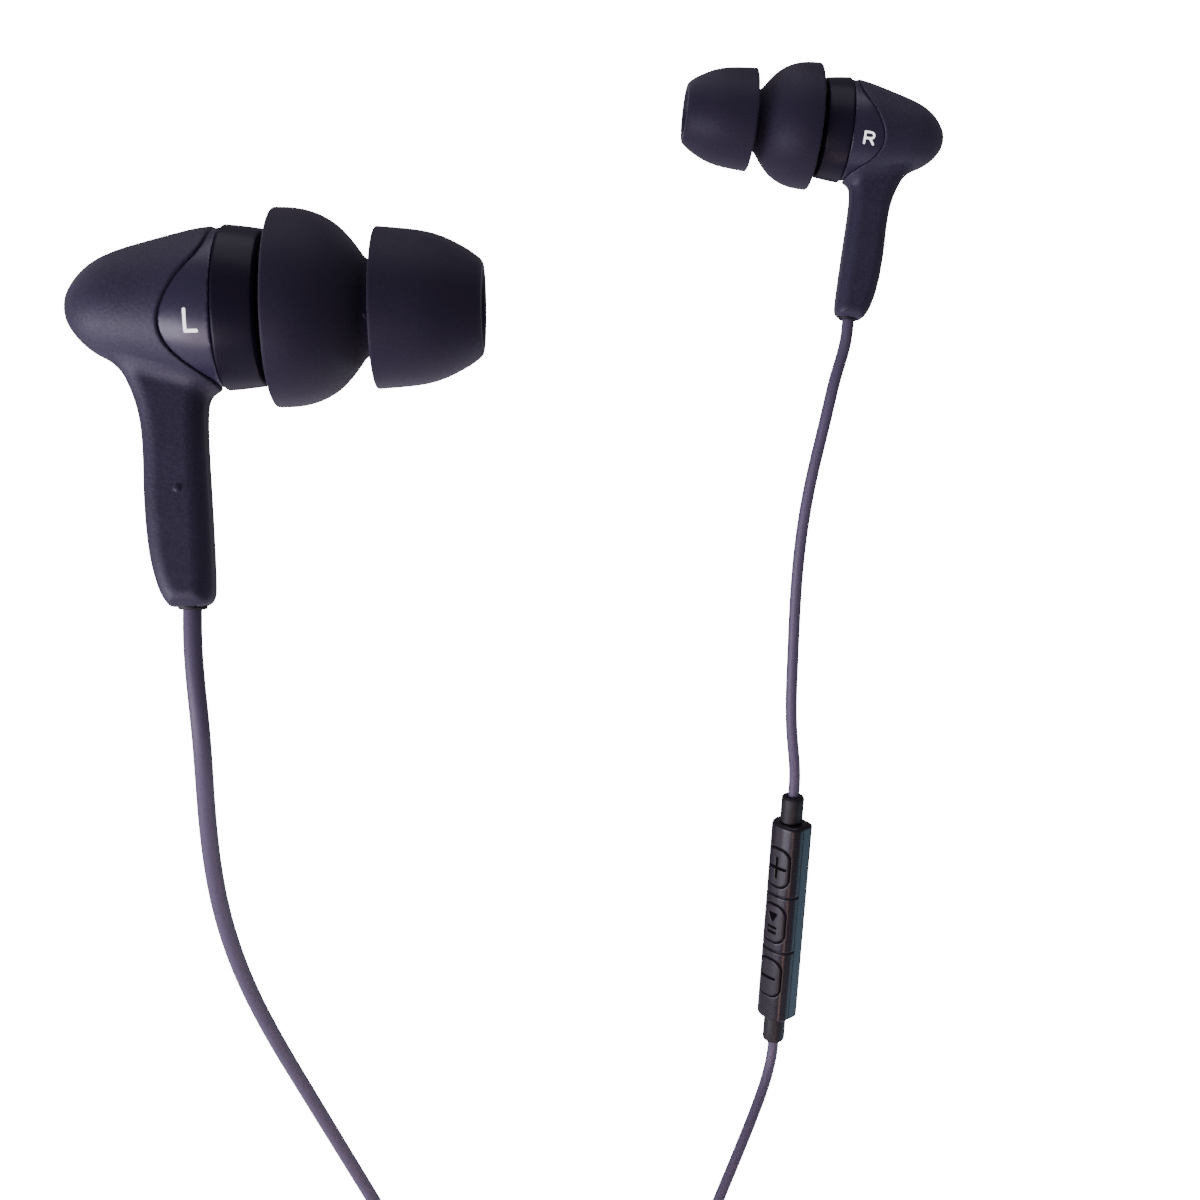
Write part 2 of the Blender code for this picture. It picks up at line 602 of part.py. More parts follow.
def plug():
    """A straight four-contact 3.5 mm plug on a short tail of the main cord, hanging from the hank."""
    x, y, z = tail_top()
    bottom = z - PLUG_DROP
    cord("cord_main_tail", [(x, y, z), (x, y, bottom)], MAIN_DIAMETER)
    parent = frame_empty("plug", Matrix.Translation(Vector((x, y, bottom - FACE_GAP)) * MM))
    bore = MAIN_DIAMETER / 2 + 0.05
    relief = [(0, 1.3), (-9.0, 2.0), (-9.0, bore), (0, bore)]
    grip = [(-9.1, 2.1), (-9.7, 2.6), (-14, 2.75), (-22.6, 2.75), (-23, 2.5), (-23, 1.35), (-9.1, 1.35)]
    sleeve_contact = [(-18, 1.3), (-23.05, 1.3), (-23.05, 1.75), (-27.3, 1.75), (-27.3, 1.15), (-18, 1.15)]
    mic_ring = [(-27.7, 1.75), (-30.3, 1.75), (-30.3, 1.15), (-27.7, 1.15)]
    right_ring = [(-30.7, 1.75), (-33.0, 1.75), (-33.0, 1.15), (-30.7, 1.15)]
    insulator = [(-19.0, 1.1)]
    for gap in (-27.5, -30.5, -33.2):
        insulator += [(gap + 0.17, 1.1), (gap + 0.17, 1.72), (gap - 0.17, 1.72), (gap - 0.17, 1.1)]
    insulator = insulator[:-1] + [(-33.37, 0.62), (-19.0, 0.62)]
    tip = [(-18.5, 0.0), (-18.5, 0.57), (-33.4, 0.57), (-33.4, 1.7), (-33.7, 1.7), (-34.3, 1.2)]
    tip += [(-35.1, 1.65), (-35.5, 1.65), (-37.0, 0.5), (-37.0, 0.0)]
    upright = Matrix.Identity(4)
    turned("plug_strain_relief", relief, RUBBER, parent, upright, SMALL_SIDES)
    turned("plug_grip", grip, RUBBER, parent, upright, SMALL_SIDES)
    turned("plug_sleeve_contact", sleeve_contact, STEEL, parent, upright, SMALL_SIDES)
    turned("plug_microphone_ring", mic_ring, STEEL, parent, upright, SMALL_SIDES)
    turned("plug_right_ring", right_ring, STEEL, parent, upright, SMALL_SIDES)
    turned("plug_insulator", insulator, INSULATOR, parent, upright, SMALL_SIDES)
    turned("plug_tip_contact", tip, STEEL, parent, upright, SMALL_SIDES, False)


def main():
    for side in EARPIECES:
        earpiece(side)
    remote()
    free_cords()
    hank()
    plug()
    shade_all_parts()


main()
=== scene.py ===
"""Wired earphones: the visible pieces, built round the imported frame.

Lengths and places are in mm; mesh_object and cord_piece turn them into metres.
"""

import json
import math

import bpy
import numpy as np
from mathutils import Matrix, Vector

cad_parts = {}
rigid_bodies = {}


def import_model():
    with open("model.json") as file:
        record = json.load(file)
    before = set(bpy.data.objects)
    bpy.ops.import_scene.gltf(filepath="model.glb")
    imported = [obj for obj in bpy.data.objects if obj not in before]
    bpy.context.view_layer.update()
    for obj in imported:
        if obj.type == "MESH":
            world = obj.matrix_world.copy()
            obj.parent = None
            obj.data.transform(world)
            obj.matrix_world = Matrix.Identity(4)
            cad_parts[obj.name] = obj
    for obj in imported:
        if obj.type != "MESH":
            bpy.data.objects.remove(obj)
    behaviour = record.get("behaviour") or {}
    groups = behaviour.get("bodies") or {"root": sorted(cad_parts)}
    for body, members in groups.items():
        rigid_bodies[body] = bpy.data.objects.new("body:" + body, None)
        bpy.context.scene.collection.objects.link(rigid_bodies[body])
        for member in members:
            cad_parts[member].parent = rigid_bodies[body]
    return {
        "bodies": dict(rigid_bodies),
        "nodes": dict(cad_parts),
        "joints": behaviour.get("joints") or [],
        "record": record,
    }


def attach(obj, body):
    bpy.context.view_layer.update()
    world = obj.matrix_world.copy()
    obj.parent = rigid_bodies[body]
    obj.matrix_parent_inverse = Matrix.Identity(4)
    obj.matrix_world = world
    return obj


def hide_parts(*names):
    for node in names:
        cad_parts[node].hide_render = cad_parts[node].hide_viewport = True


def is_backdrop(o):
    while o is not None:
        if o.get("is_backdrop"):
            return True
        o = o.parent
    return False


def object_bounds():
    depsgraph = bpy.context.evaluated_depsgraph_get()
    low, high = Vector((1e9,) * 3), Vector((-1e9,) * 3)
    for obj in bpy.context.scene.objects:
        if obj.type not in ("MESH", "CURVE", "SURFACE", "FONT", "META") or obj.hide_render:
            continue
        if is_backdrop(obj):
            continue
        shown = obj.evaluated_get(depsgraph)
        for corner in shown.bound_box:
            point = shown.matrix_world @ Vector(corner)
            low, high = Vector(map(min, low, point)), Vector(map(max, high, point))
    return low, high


MM = 0.001
SIDES = 144  # of a turned piece
CELL = 0.16  # of a sculpted piece's grid
SOFT = 9.0  # a rounding that blends a run of corners into one curve

# The CAD's own places and sizes.
EARPIECES = {"left": ((-14.9, 0.0, 0.0), 0.0, 0.0), "right": ((31.7, 78.9, 4.5), 5.2, 184.1)}
STEM_SWING = -20.0
BULLET = [
    (-2.58, 5.5), (-4.2, 5.33), (-5.4, 5.04), (-6.6, 4.73), (-7.8, 4.41), (-9.0, 4.08), (-10.2, 3.68),
    (-11.2, 3.2), (-12.1, 2.52), (-12.8, 1.72), (-13.25, 0.95), (-13.4, 0.0),
]  # fmt: skip
STEM_THICKNESS, STEM_CHAMFER, STEM_BOTTOM, STEM_FILLET = 3.8, 0.8, -20.25, 0.9
STEM_CHANNEL = (-5.4, 0, 1.0, -17.9, -3)  # x, y, radius, lowest and highest
STEM_OUTLINE = [
    (-10.0, -2.6), (-9.31, -4.54), (-8.65, -5.83), (-8.12, -7.69), (-7.94, -10.0), (-7.9, -13.1),
    (-7.58, -16.6), (-6.95, -19.0), (-6.3, -20.05), (-5.9, -20.25), (-3.9, -20.25), (-3.36, -19.8),
    (-3.24, -18.86), (-3.54, -13.1), (-3.8, -9.0), (-3.82, -6.6), (-3.5, -5.83), (-3.1, -5.2),
    (-3.1, -2.6),
]  # fmt: skip
PETAL_EDGE = [
    (-3.1, 8.0), (-3.15, 4.8), (-3.35, 3.5), (-3.8, 2.7), (-4.35, 2.05), (-4.9, 1.35), (-5.4, 0.55),
    (-5.85, -0.35), (-6.1, -1.15), (-6.15, -1.85), (-5.95, -2.6), (-5.5, -3.3), (-4.85, -3.9),
    (-4.05, -4.45), (-3.3, -4.95), (-2.9, -5.3), (-2.75, -5.9),
]  # fmt: skip
PETAL_STEP, PETAL_GAP, PETAL_ROUND, PETAL_RIM_ROUND = 0.15, 0.03, 0.08, 0.22
SHELL_REAR, SHELL_INNER_RADIUS = -6.6, 4.0
HOUSING_CAVITY = [
    (-2, -1), (-2, 4.35), (-5.6, 4.35), (-7.4, 3.9), (-10, 3), (-11.8, 1.7), (-12.4, -1),
]  # fmt: skip
SHELL_SPIGOT = [
    (-1.35, 4.45), (-2.9, 4.45), (-2.9, 4.28), (-5.5, 4.28), (-5.5, 3.95), (-1.35, 3.95),
]  # fmt: skip
CORD_X, BUSH_RADIUS, BUSH_LENGTH, BUSH_PROUD = -4.76, 1.0, 3.1, 0.12
BUSH_POCKET, BUSH_POCKET_ROUND, BUSH_GAP = (-22, -17.2), 0.12, 0.05
CORD_DIAMETER, MAIN_DIAMETER, FACE_GAP, EXIT_RUN, BORE_GAP = 1.3, 1.6, 0.1, 2.2, 0.03
LEFT_CORD = [
    (-19.4, -8.7, -27.0), (-19.8, -7.2, -33.3), (-20.4, -3.6, -42.4), (-20.2, 2.5, -53.9),
    (-18.3, 12.0, -69.8), (-14.4, 23.0, -90.6), (-3.5, 31.5, -117.5), (5.2, 35.6, -128.8),
    (9.7, 37.2, -135.3), (10.9, 37.5, -140.1),
]  # fmt: skip
RIGHT_UPPER_CORD = [
    (33.3, 69.6, -20.5), (32.35, 68.5, -24.4), (30.8, 67.5, -31.7), (29.7, 66.7, -40.6),
    (29.4, 66.0, -52.2), (29.6, 65.6, -61.0),
]  # fmt: skip
RIGHT_LOWER_CORD = [
    (25.9, 60.5, -109.6), (21.7, 54.5, -116.6), (16.2, 47.6, -126.5), (12.2, 41.7, -134.6),
    (11.1, 39.3, -140.1),
]  # fmt: skip
REMOTE_CENTRE, REMOTE_TILT, REMOTE_TURN = (29.37, 65.2, -84.7), (-2.1, 2.47), -48.6
REMOTE_SIZE, REMOTE_CORNER, REMOTE_CROWN, REMOTE_END_ROUND = (4.2, 3.7, 25.3), 0.8, 2.7, 0.45
REMOTE_CAVITY = ((-1.45, -1.0, -12.0), (1.45, 1.2, 12.0))
SEAM_GAP, GROOVE_RADIUS, GROOVE_ROUND = 0.002, 0.12, 0.06
SLEEVE_RADIUS, SLEEVE_NECK, SLEEVE_INNER_END = 1.3, 0.8, 11.0
SEAT_RADIUS, SEAT_Z, SEAT_HALF = 1.0, 11.65, 0.32
SLEEVE_LENGTHS = {"top": 3.2, "bottom": 3.3}
BUTTON_HEIGHTS = {"volume_up": 7.3, "play_pause": 0.15, "volume_down": -6.95}
WINDOW_SIZE, WINDOW_ROUND, WINDOW_RIM, WINDOW_BACK = (3.3, 4.9), 1.2, 0.12, -0.9
BUTTON_GAP, BUTTON_PROUD, BUTTON_RIM, BUTTON_BACK = 0.08, 0.08, 0.2, -0.5
BUTTON_PLATE, PLATE_FRONT, CAP_BACK = (2.7, 5.6), -0.9, -1.2
SYMBOL_DEPTH, SYMBOL_RIM = 0.1, 0.03
MICROPHONE_Z, PORT_RADIUS, PORT_RIM = -10.2, 0.3, 0.08
HANK_CENTRE, HANK_RUN, HANK_INNER_RADIUS, HANK_RINGS, HANK_LAYERS = (-0.7, 40.0, -160.0), 27.0, 4.9, 5, 4
RING_PITCH, LAYER_PITCH, HANK_WAIST = 1.7, 1.65, 3.0
HANK_OUTER_RADIUS = HANK_INNER_RADIUS + (HANK_RINGS - 1) * RING_PITCH
HANK_FACE = HANK_LAYERS * LAYER_PITCH / 2 + FACE_GAP
TIE_WIDTH, TIE_THICKNESS, TIE_GAP, TIE_CORNER = 6.0, 1.2, 0.3, 0.3
SPLITTER_SIZE, SPLITTER_OFFSET, PLUG_DROP = (4.4, 2.8, 13.0), (5.9, -14.6), 12.0
PIN_RADIUS, CONTACT_BORE = 1.75, 1.15


# Frames


def degrees_about(axis, angle):
    return Matrix.Rotation(math.radians(angle), 4, axis)


def placed(point):
    return Matrix.Translation(Vector(point) * MM)


def earpiece_frame(side):
    origin, roll, turn = EARPIECES[side]
    turns = degrees_about("X", STEM_SWING) @ degrees_about("Y", roll) @ degrees_about("Z", turn)
    return placed(origin) @ turns


def remote_frame():
    tilt_x, tilt_y = REMOTE_TILT
    turns = degrees_about("X", tilt_x) @ degrees_about("Y", tilt_y) @ degrees_about("Z", REMOTE_TURN)
    return placed(REMOTE_CENTRE) @ turns


def in_mm(matrix, point):
    """A point of a frame, in mm, as world mm."""
    return tuple(matrix @ (Vector(point) * MM) / MM)


# Meshes


def mesh_object(name, points, faces, material, matrix=None, sharp=35.0):
    """An object from points in mm, shaded smooth with edges sharp over this many degrees."""
    mesh = bpy.data.meshes.new(name)
    mesh.from_pydata((np.asarray(points, float) * MM).tolist(), [], [list(map(int, f)) for f in faces])
    mesh.validate()
    mesh.polygons.foreach_set("use_smooth", [True] * len(mesh.polygons))
    mesh.set_sharp_from_angle(angle=math.radians(sharp))
    mesh.materials.append(material)
    return object_of(name, mesh, matrix)


def object_of(name, mesh, matrix=None):
    made = bpy.data.objects.new(name, mesh)
    bpy.context.scene.collection.objects.link(made)
    if matrix is not None:
        made.matrix_world = matrix
    return made


def shown(obj, body, slot, *nodes):
    """The piece rides on a body and stands for CAD nodes; slot is not used."""
    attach(obj, body)
    if nodes:
        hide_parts(*nodes)
    return obj


def filleted(points, radii, steps=6):
    """A closed polygon with its corners rounded; a big radius makes one smooth curve of a run of corners."""
    points = [np.array(p, float) for p in points]
    out = []
    for i, corner in enumerate(points):
        before, after = points[i - 1] - corner, points[(i + 1) % len(points)] - corner
        reach = [min(radii[i], 0.5 * np.linalg.norm(way)) / np.linalg.norm(way) for way in (before, after)]
        start, end = corner + before * reach[0], corner + after * reach[1]
        for t in np.linspace(0, 1, steps + 1):
            point = (1 - t) ** 2 * start + 2 * t * (1 - t) * corner + t * t * end
            if not out or np.linalg.norm(point - out[-1]) > 1e-4:
                out.append(point)
    if np.linalg.norm(out[0] - out[-1]) < 1e-4:
        out.pop()
    return out


def turned(name, profile, material, matrix=None, sides=SIDES, closed=True, axis="X", sharp=35.0):
    """A shape turned from (height, radius) points round a frame's x or z axis."""
    profile = [(float(h), float(r)) for h, r in profile]
    loop = profile + profile[:1]
    area = sum(a[0] * b[1] - b[0] * a[1] for a, b in zip(loop, loop[1:]))
    angles = np.arange(sides) * 2 * math.pi / sides
    points, rows = [], []
    for height, radius in profile:
        if radius < 1e-6:
            rows.append([len(points)] * sides)
            points.append((height, 0.0, 0.0))
            continue
        rows.append(list(range(len(points), len(points) + sides)))
        points += [(height, radius * math.cos(a), radius * math.sin(a)) for a in angles]
    faces = []
    for i in range(len(rows) if closed else len(rows) - 1):
        near, far = rows[i], rows[(i + 1) % len(rows)]
        for j in range(sides):
            k = (j + 1) % sides
            face = list(dict.fromkeys((near[j], far[j], far[k], near[k])))
            if len(face) > 2:
                faces.append(face if area > 0 else face[::-1])
    if axis == "Z":
        points = [(y, z, x) for x, y, z in points]
    return mesh_object(name, points, faces, material, matrix, sharp)


# Distance fields, in mm: negative inside


def round_max(a, b, r):
    """The part common to two shapes, with a rounded edge."""
    return np.minimum(-r, np.maximum(a, b)) + np.hypot(np.maximum(r + a, 0), np.maximum(r + b, 0))


def round_min(a, b, r):
    """Two shapes joined with a fillet."""
    return np.maximum(r, np.minimum(a, b)) - np.hypot(np.maximum(r - a, 0), np.maximum(r - b, 0))


def polygon_distance(points, u, v):
    best = np.full(u.shape, np.inf)
    inside = np.zeros(u.shape, bool)
    for i, (bx, by) in enumerate(points):
        ax, ay = points[i - 1]
        dx, dy = bx - ax, by - ay
        t = np.clip(((u - ax) * dx + (v - ay) * dy) / (dx * dx + dy * dy), 0, 1)
        best = np.minimum(best, (u - ax - t * dx) ** 2 + (v - ay - t * dy) ** 2)
        if dy:
            inside ^= ((ay > v) != (by > v)) & (u < ax + (v - ay) * dx / dy)
    return np.where(inside, -1.0, 1.0) * np.sqrt(best)


def stroke_distance(lines, u, v):
    """Distance from open lines drawn in a plane."""
    best = np.full(u.shape, np.inf)
    for line in lines:
        for (ax, ay), (bx, by) in zip(line, line[1:]):
            dx, dy = bx - ax, by - ay
            t = np.clip(((u - ax) * dx + (v - ay) * dy) / (dx * dx + dy * dy), 0, 1)
            best = np.minimum(best, np.hypot(u - ax - t * dx, v - ay - t * dy))
    return best


def block(p, low, high):
    centre, half = (np.array(low) + high) / 2, (np.array(high) - low) / 2
    away = np.abs(p - centre) - half
    return np.linalg.norm(np.maximum(away, 0), axis=1) + np.minimum(away.max(axis=1), 0)


def rounded_rectangle(u, v, width, height, radius):
    away_u, away_v = np.abs(u) - width / 2 + radius, np.abs(v) - height / 2 + radius
    outside = np.hypot(np.maximum(away_u, 0), np.maximum(away_v, 0))
    return outside + np.minimum(np.maximum(away_u, away_v), 0) - radius


def upright_rod(p, x, y, radius, low, high):
    return np.maximum(np.hypot(p[:, 0] - x, p[:, 1] - y) - radius, np.maximum(low - p[:, 2], p[:, 2] - high))


def sculpt(name, field, low, high, cell, material, matrix=None, sharp=180.0):
    """A mesh of a distance field's zero surface: one point in each cell that the surface crosses."""
    axes = [np.arange(a, b + cell, cell) for a, b in zip(low, high)]
    grid = np.stack(np.meshgrid(*axes, indexing="ij"), -1)
    value = sampled(field, grid, cell)
    cells = tuple(n - 1 for n in value.shape)
    total, count = np.zeros((*cells, 3)), np.zeros(cells)
    crossings = []
    for axis in range(3):
        others = [a for a in range(3) if a != axis]
        start = [slice(None)] * 3
        start[axis] = slice(0, -1)
        end = [slice(None)] * 3
        end[axis] = slice(1, None)
        a, b = value[tuple(start)], value[tuple(end)]
        crossing = (a < 0) != (b < 0)
        place = grid[tuple(start)].copy()
        place[..., axis] += cell * np.where(crossing, a / np.where(crossing, a - b, 1), 0)
        for du in (0, 1):
            for dv in (0, 1):
                part = [slice(None)] * 3
                part[others[0]] = slice(du, du + cells[others[0]])
                part[others[1]] = slice(dv, dv + cells[others[1]])
                total += place[tuple(part)] * crossing[tuple(part)][..., None]
                count += crossing[tuple(part)]
        crossings.append((axis, crossing, a < 0))
    used = count > 0
    points = total[used] / count[used][:, None]
    number = np.full(cells, -1)
    number[used] = np.arange(len(points))
    faces = []
    for axis, crossing, rising in crossings:
        u, v = (axis + 1) % 3, (axis + 2) % 3
        at = np.argwhere(crossing)
        at = at[(at[:, u] > 0) & (at[:, v] > 0) & (at[:, u] < cells[u]) & (at[:, v] < cells[v])]
        corners = []
        for du, dv in ((1, 1), (0, 1), (0, 0), (1, 0)):
            corner = at.copy()
            corner[:, u] -= du
            corner[:, v] -= dv
            corners.append(number[tuple(corner.T)])
        quads = np.stack(corners, 1)
        turned_round = ~rising[tuple(at.T)]
        quads[turned_round] = quads[turned_round][:, ::-1]
        faces.append(quads)
    points = onto_surface(field, onto_surface(field, points, cell), cell)
    return mesh_object(name, points, np.concatenate(faces), material, matrix, sharp)


def sampled(field, grid, cell, step=6):
    """The field on the grid, worked out in full only in the blocks that the surface may cross."""
    shape = grid.shape[:3]
    coarse = grid[::step, ::step, ::step] + cell * (step - 1) / 2
    value = field(coarse.reshape(-1, 3)).reshape(coarse.shape[:3])
    for axis in range(3):
        value = value.repeat(step, axis)
    value = value[: shape[0], : shape[1], : shape[2]].copy()
    near = np.abs(value) < cell * step * 1.15
    value[near] = field(grid[near])
    return value


def onto_surface(field, points, cell, reach=0.01):
    """The points moved along the field's slope onto its zero."""
    slope = np.empty_like(points)
    for axis in range(3):
        shift = np.zeros(3)
        shift[axis] = reach
        slope[:, axis] = (field(points + shift) - field(points - shift)) / (2 * reach)
    steepness = np.maximum((slope**2).sum(1), 0.25)
    move = -(field(points) / steepness)[:, None] * slope
    far = np.linalg.norm(move, axis=1) / (0.6 * cell)
    return points + move / np.maximum(far, 1)[:, None]


# Earpieces


def smooth_loop(points, soft, steps):
    """A polygon whose corners listed as soft are blended into one curve, the others left nearly sharp."""
    radii = [SOFT if i in soft else 0.05 for i in range(len(points))]
    return [tuple(p) for p in filleted(points, radii, steps)]


STEM_CURVE = smooth_loop(STEM_OUTLINE, range(1, 18), 4)
PETAL_CURVE = smooth_loop(PETAL_EDGE + [(2.0, -5.9), (2.0, 8.0)], range(1, 16), 3)
BULLET_BELOW = [(x, -radius) for x, radius in BULLET[-2:6:-1]]
BULLET_CURVE = smooth_loop([(1.0, -3.0), (1.0, 5.5), *BULLET, *BULLET_BELOW, (-9.0, -3.0)], range(3, 17), 4)

LETTER_HALF_STROKE, LETTER_HALF_DEPTH, LETTER_MARGIN, LETTER_CELL = 0.11, 0.035, 0.25, 0.035
LETTERS = {
    "left": [[(-4.22, -0.9), (-4.22, -2.24), (-3.46, -2.24)]],
    "right": [
        [(-3.9, -2.35), (-3.9, -1.25), (-4.48, -1.25), (-4.72, -1.29), (-4.86, -1.41), (-4.9, -1.55),
         (-4.85, -1.7), (-4.7, -1.81), (-4.46, -1.85), (-3.9, -1.85)],
        [(-4.46, -1.85), (-4.9, -2.35)],
    ],
}  # fmt: skip


def bullet(p, inset=0.0):
    return turned_field(p, BULLET_CURVE) + inset


def stem(p):
    side = polygon_distance(STEM_CURVE, p[:, 0], p[:, 2])
    face = np.abs(p[:, 1]) - STEM_THICKNESS / 2
    chamfer = (side + face + STEM_CHAMFER) / math.sqrt(2)
    return round_max(round_max(side, face, 0.1), chamfer, 0.3)


def petal(p, gap=0.0):
    return polygon_distance(PETAL_CURVE, p[:, 0] - gap, p[:, 2])


def turned_field(p, profile):
    return polygon_distance(profile, p[:, 0], np.hypot(p[:, 1], p[:, 2]))


def rear_housing_field(p):
    outside = round_min(bullet(p), stem(p), STEM_FILLET)
    outside = round_max(outside, -petal(p), PETAL_RIM_ROUND)
    outside = np.maximum(outside, p[:, 0] - BULLET[0][0])
    pocket = upright_rod(p, CORD_X, 0, BUSH_RADIUS + BUSH_GAP, *BUSH_POCKET)
    outside = round_max(outside, -pocket, BUSH_POCKET_ROUND)
    hollow = np.minimum(turned_field(p, HOUSING_CAVITY), upright_rod(p, *STEM_CHANNEL))
    return np.maximum(outside, -hollow)


def front_shell_field(p):
    around = np.hypot(p[:, 1], p[:, 2])
    skin = np.maximum(bullet(p, PETAL_STEP), np.maximum(SHELL_INNER_RADIUS - around, SHELL_REAR - p[:, 0]))
    skin = round_max(np.maximum(skin, p[:, 0] - BULLET[0][0]), petal(p, PETAL_GAP), PETAL_ROUND)
    return np.minimum(skin, turned_field(p, SHELL_SPIGOT))


def side_letter(side, material):
    """The white print on the petal, with a painted glow that lifts its white: a thin layer that follows the
    shell.
    """
    facing = -1 if side == "left" else 1
    lines = LETTERS[side]

    def field(p):
        strokes = stroke_distance(lines, p[:, 0], p[:, 2]) - LETTER_HALF_STROKE
        layer = np.abs(bullet(p, PETAL_STEP)) - LETTER_HALF_DEPTH
        return np.maximum(np.maximum(strokes, layer), 2.0 - facing * p[:, 1])

    at = np.array([p for line in lines for p in line])
    (left, bottom), (right, top) = at.min(axis=0) - LETTER_MARGIN, at.max(axis=0) + LETTER_MARGIN
    near, far = sorted((facing * 3.6, facing * 5.5))
    obj = sculpt(f"{side}_side_letter", field, (left, near, bottom), (right, far, top), LETTER_CELL, material,
                 earpiece_frame(side))  # fmt: skip
    shown(obj, "root", "white_print")


def housings(mats):
    rear = sculpt("rear_housing_shape", rear_housing_field, (-13.9, -5.9, -20.6), (-2.3, 5.9, 5.9), CELL,
                  mats["soft_touch"], earpiece_frame("left"))  # fmt: skip
    front = sculpt("front_shell_shape", front_shell_field, (-7.6, -5.8, -5.8), (-1.1, 5.8, 5.8), CELL,
                   mats["smooth_plastic"], earpiece_frame("left"))  # fmt: skip
    for side in EARPIECES:
        for shape, node, slot in (
            (rear, "rear_housing", "soft_touch"), (front, "front_shell", "smooth_plastic"),
        ):  # fmt: skip
            obj = object_of(f"{side}_{node}_skin", shape.data, earpiece_frame(side))
            shown(obj, "root", slot, f"{side}_{node}")
        side_letter(side, mats["white_print"])
    for shape in (rear, front):
        bpy.data.objects.remove(shape)


TIP_PROFILE = [
    (14.9, 2.5, 0.15), (14.9, 3.08, 0.2), (14.6, 3.42, 0.35), (13.9, 3.93, SOFT), (12.4, 4.73, SOFT),
    (10.75, 5.22, SOFT), (7.65, 5.46, 0.2), (7.62, 5.0, 0.2), (10.75, 4.6, SOFT), (11.7, 4.0, SOFT),
    (11.8, 3.0, 0.5), (8.0, 3.05, SOFT), (7.03, 3.2, 0.5), (6.2, 4.4, SOFT), (5.17, 5.54, SOFT),
    (3.93, 6.28, SOFT), (2.48, 6.67, SOFT), (0.87, 6.7, 0.22), (0.85, 6.25, 0.22), (2.4, 6.15, SOFT),
    (3.8, 5.7, SOFT), (4.9, 4.85, SOFT), (5.1, 3.7, 0.6), (0.25, 3.5, 0.15), (0.25, 2.93, 0.1),
    (6.15, 2.93, 0.1), (6.3, 1.9, 0.1), (13.6, 1.9, 1.0), (14.6, 2.2, 0.3),
]  # fmt: skip


def rounded_turning(name, corners, material, matrix, sides=SIDES, axis="X", sharp=35.0):
    """A turned piece from corners given as (height, radius, rounding)."""
    profile = filleted([c[:2] for c in corners], [c[2] for c in corners], 5)
    return turned(name, profile, material, matrix, sides, True, axis, sharp)


def ear_tip(side, mats):
    frame = earpiece_frame(side)
    tip = rounded_turning(f"{side}_ear_tip_skin", TIP_PROFILE, mats["silicone"], frame, sharp=60.0)
    shown(tip, f"{side}_tip", "silicone", f"{side}_ear_tip")


def ring_and_nozzle(side, mats):
    frame = earpiece_frame(side)
    ring = [(0.35, 5.03, 0.06), (0.1, 5.28, 0.12), (-1.2, 5.46, SOFT), (-2.36, 5.56, 0.06)]
    ring += [(-2.5, 5.44, 0.05), (-2.5, 4.6, 0.03), (-0.4, 4.6, 0.03), (-0.4, 3.6, 0.03), (0, 3.6, 0.05)]
    ring += [(0, 4.8, 0.05), (0.35, 4.8, 0.06)]
    shown(rounded_turning(f"{side}_trim_ring_band", ring, mats["trim_ring"], frame, sharp=50.0),
          "root", "trim_ring", f"{side}_trim_ring")  # fmt: skip
    tube = [(6.0, 2.45, 0.12), (5.6, 2.85, 0.15), (4.6, 2.85, 0.1), (4.4, 2.6, 0.1), (-0.45, 2.6, 0.12)]
    tube += [(-0.45, 4.5, 0.05), (-1.25, 4.5, 0.05), (-1.25, 1.9, 0.05), (6.0, 1.9, 0.12)]
    shown(rounded_turning(f"{side}_nozzle_tube", tube, mats["smooth_plastic"], frame, 96),
          "root", "smooth_plastic", f"{side}_nozzle")  # fmt: skip
    shown(woven_mesh(side, mats["steel"], frame), "root", "steel", f"{side}_nozzle_mesh")


def woven_mesh(side, material, frame, radius=1.86, pitch=0.19, wire=0.032):
    """The sound opening's steel cloth: two sets of fine wires that pass over and under each other."""
    points, faces = [], []
    count = int(radius / pitch)
    for across in (0, 1):
        for i in range(-count, count + 1):
            offset = i * pitch
            half = math.sqrt(max(radius**2 - offset**2, 0.01))
            along = np.linspace(-half, half, max(8, int(4 * half / pitch)))
            wave = (1 if across else -1) * (1 if i % 2 else -1) * wire * np.cos(math.pi * along / pitch)
            start = len(points)
            for s, w in zip(along, wave):
                for k in range(6):
                    angle = math.pi * k / 3
                    a, h = offset + wire * math.cos(angle), 5.5 + w + wire * math.sin(angle)
                    points.append((h, s, a) if across else (h, a, s))
            for j in range(len(along) - 1):
                for k in range(6):
                    low, high = start + 6 * j, start + 6 * j + 6
                    quad = (low + k, low + (k + 1) % 6, high + (k + 1) % 6, high + k)
                    faces.append(quad if across else quad[::-1])
    rim = [(5.62, radius), (5.38, radius), (5.38, radius - 0.12), (5.62, radius - 0.12)]
    ring = turned(f"{side}_mesh_rim", rim, material, None, 64)
    first = len(points)
    points += [tuple(v.co / MM) for v in ring.data.vertices]
    faces += [tuple(first + i for i in poly.vertices) for poly in ring.data.polygons]
    bpy.data.objects.remove(ring)
    return mesh_object(f"{side}_nozzle_cloth", points, faces, material, frame, 60.0)


def cord_bush(side, mats):
    low = STEM_BOTTOM - BUSH_PROUD
    bore = CORD_DIAMETER / 2 + BORE_GAP
    corners = [(low + BUSH_LENGTH, BUSH_RADIUS, 0.1), (low, BUSH_RADIUS, 0.22), (low, bore, 0.08)]
    corners += [(low + BUSH_LENGTH, bore, 0.05)]
    at = earpiece_frame(side) @ placed((CORD_X, 0, 0))
    bush = rounded_turning(f"{side}_cord_bush_collar", corners, mats["moulded_rubber"], at, 64, "Z")
    shown(bush, "root", "moulded_rubber", f"{side}_cord_bush")


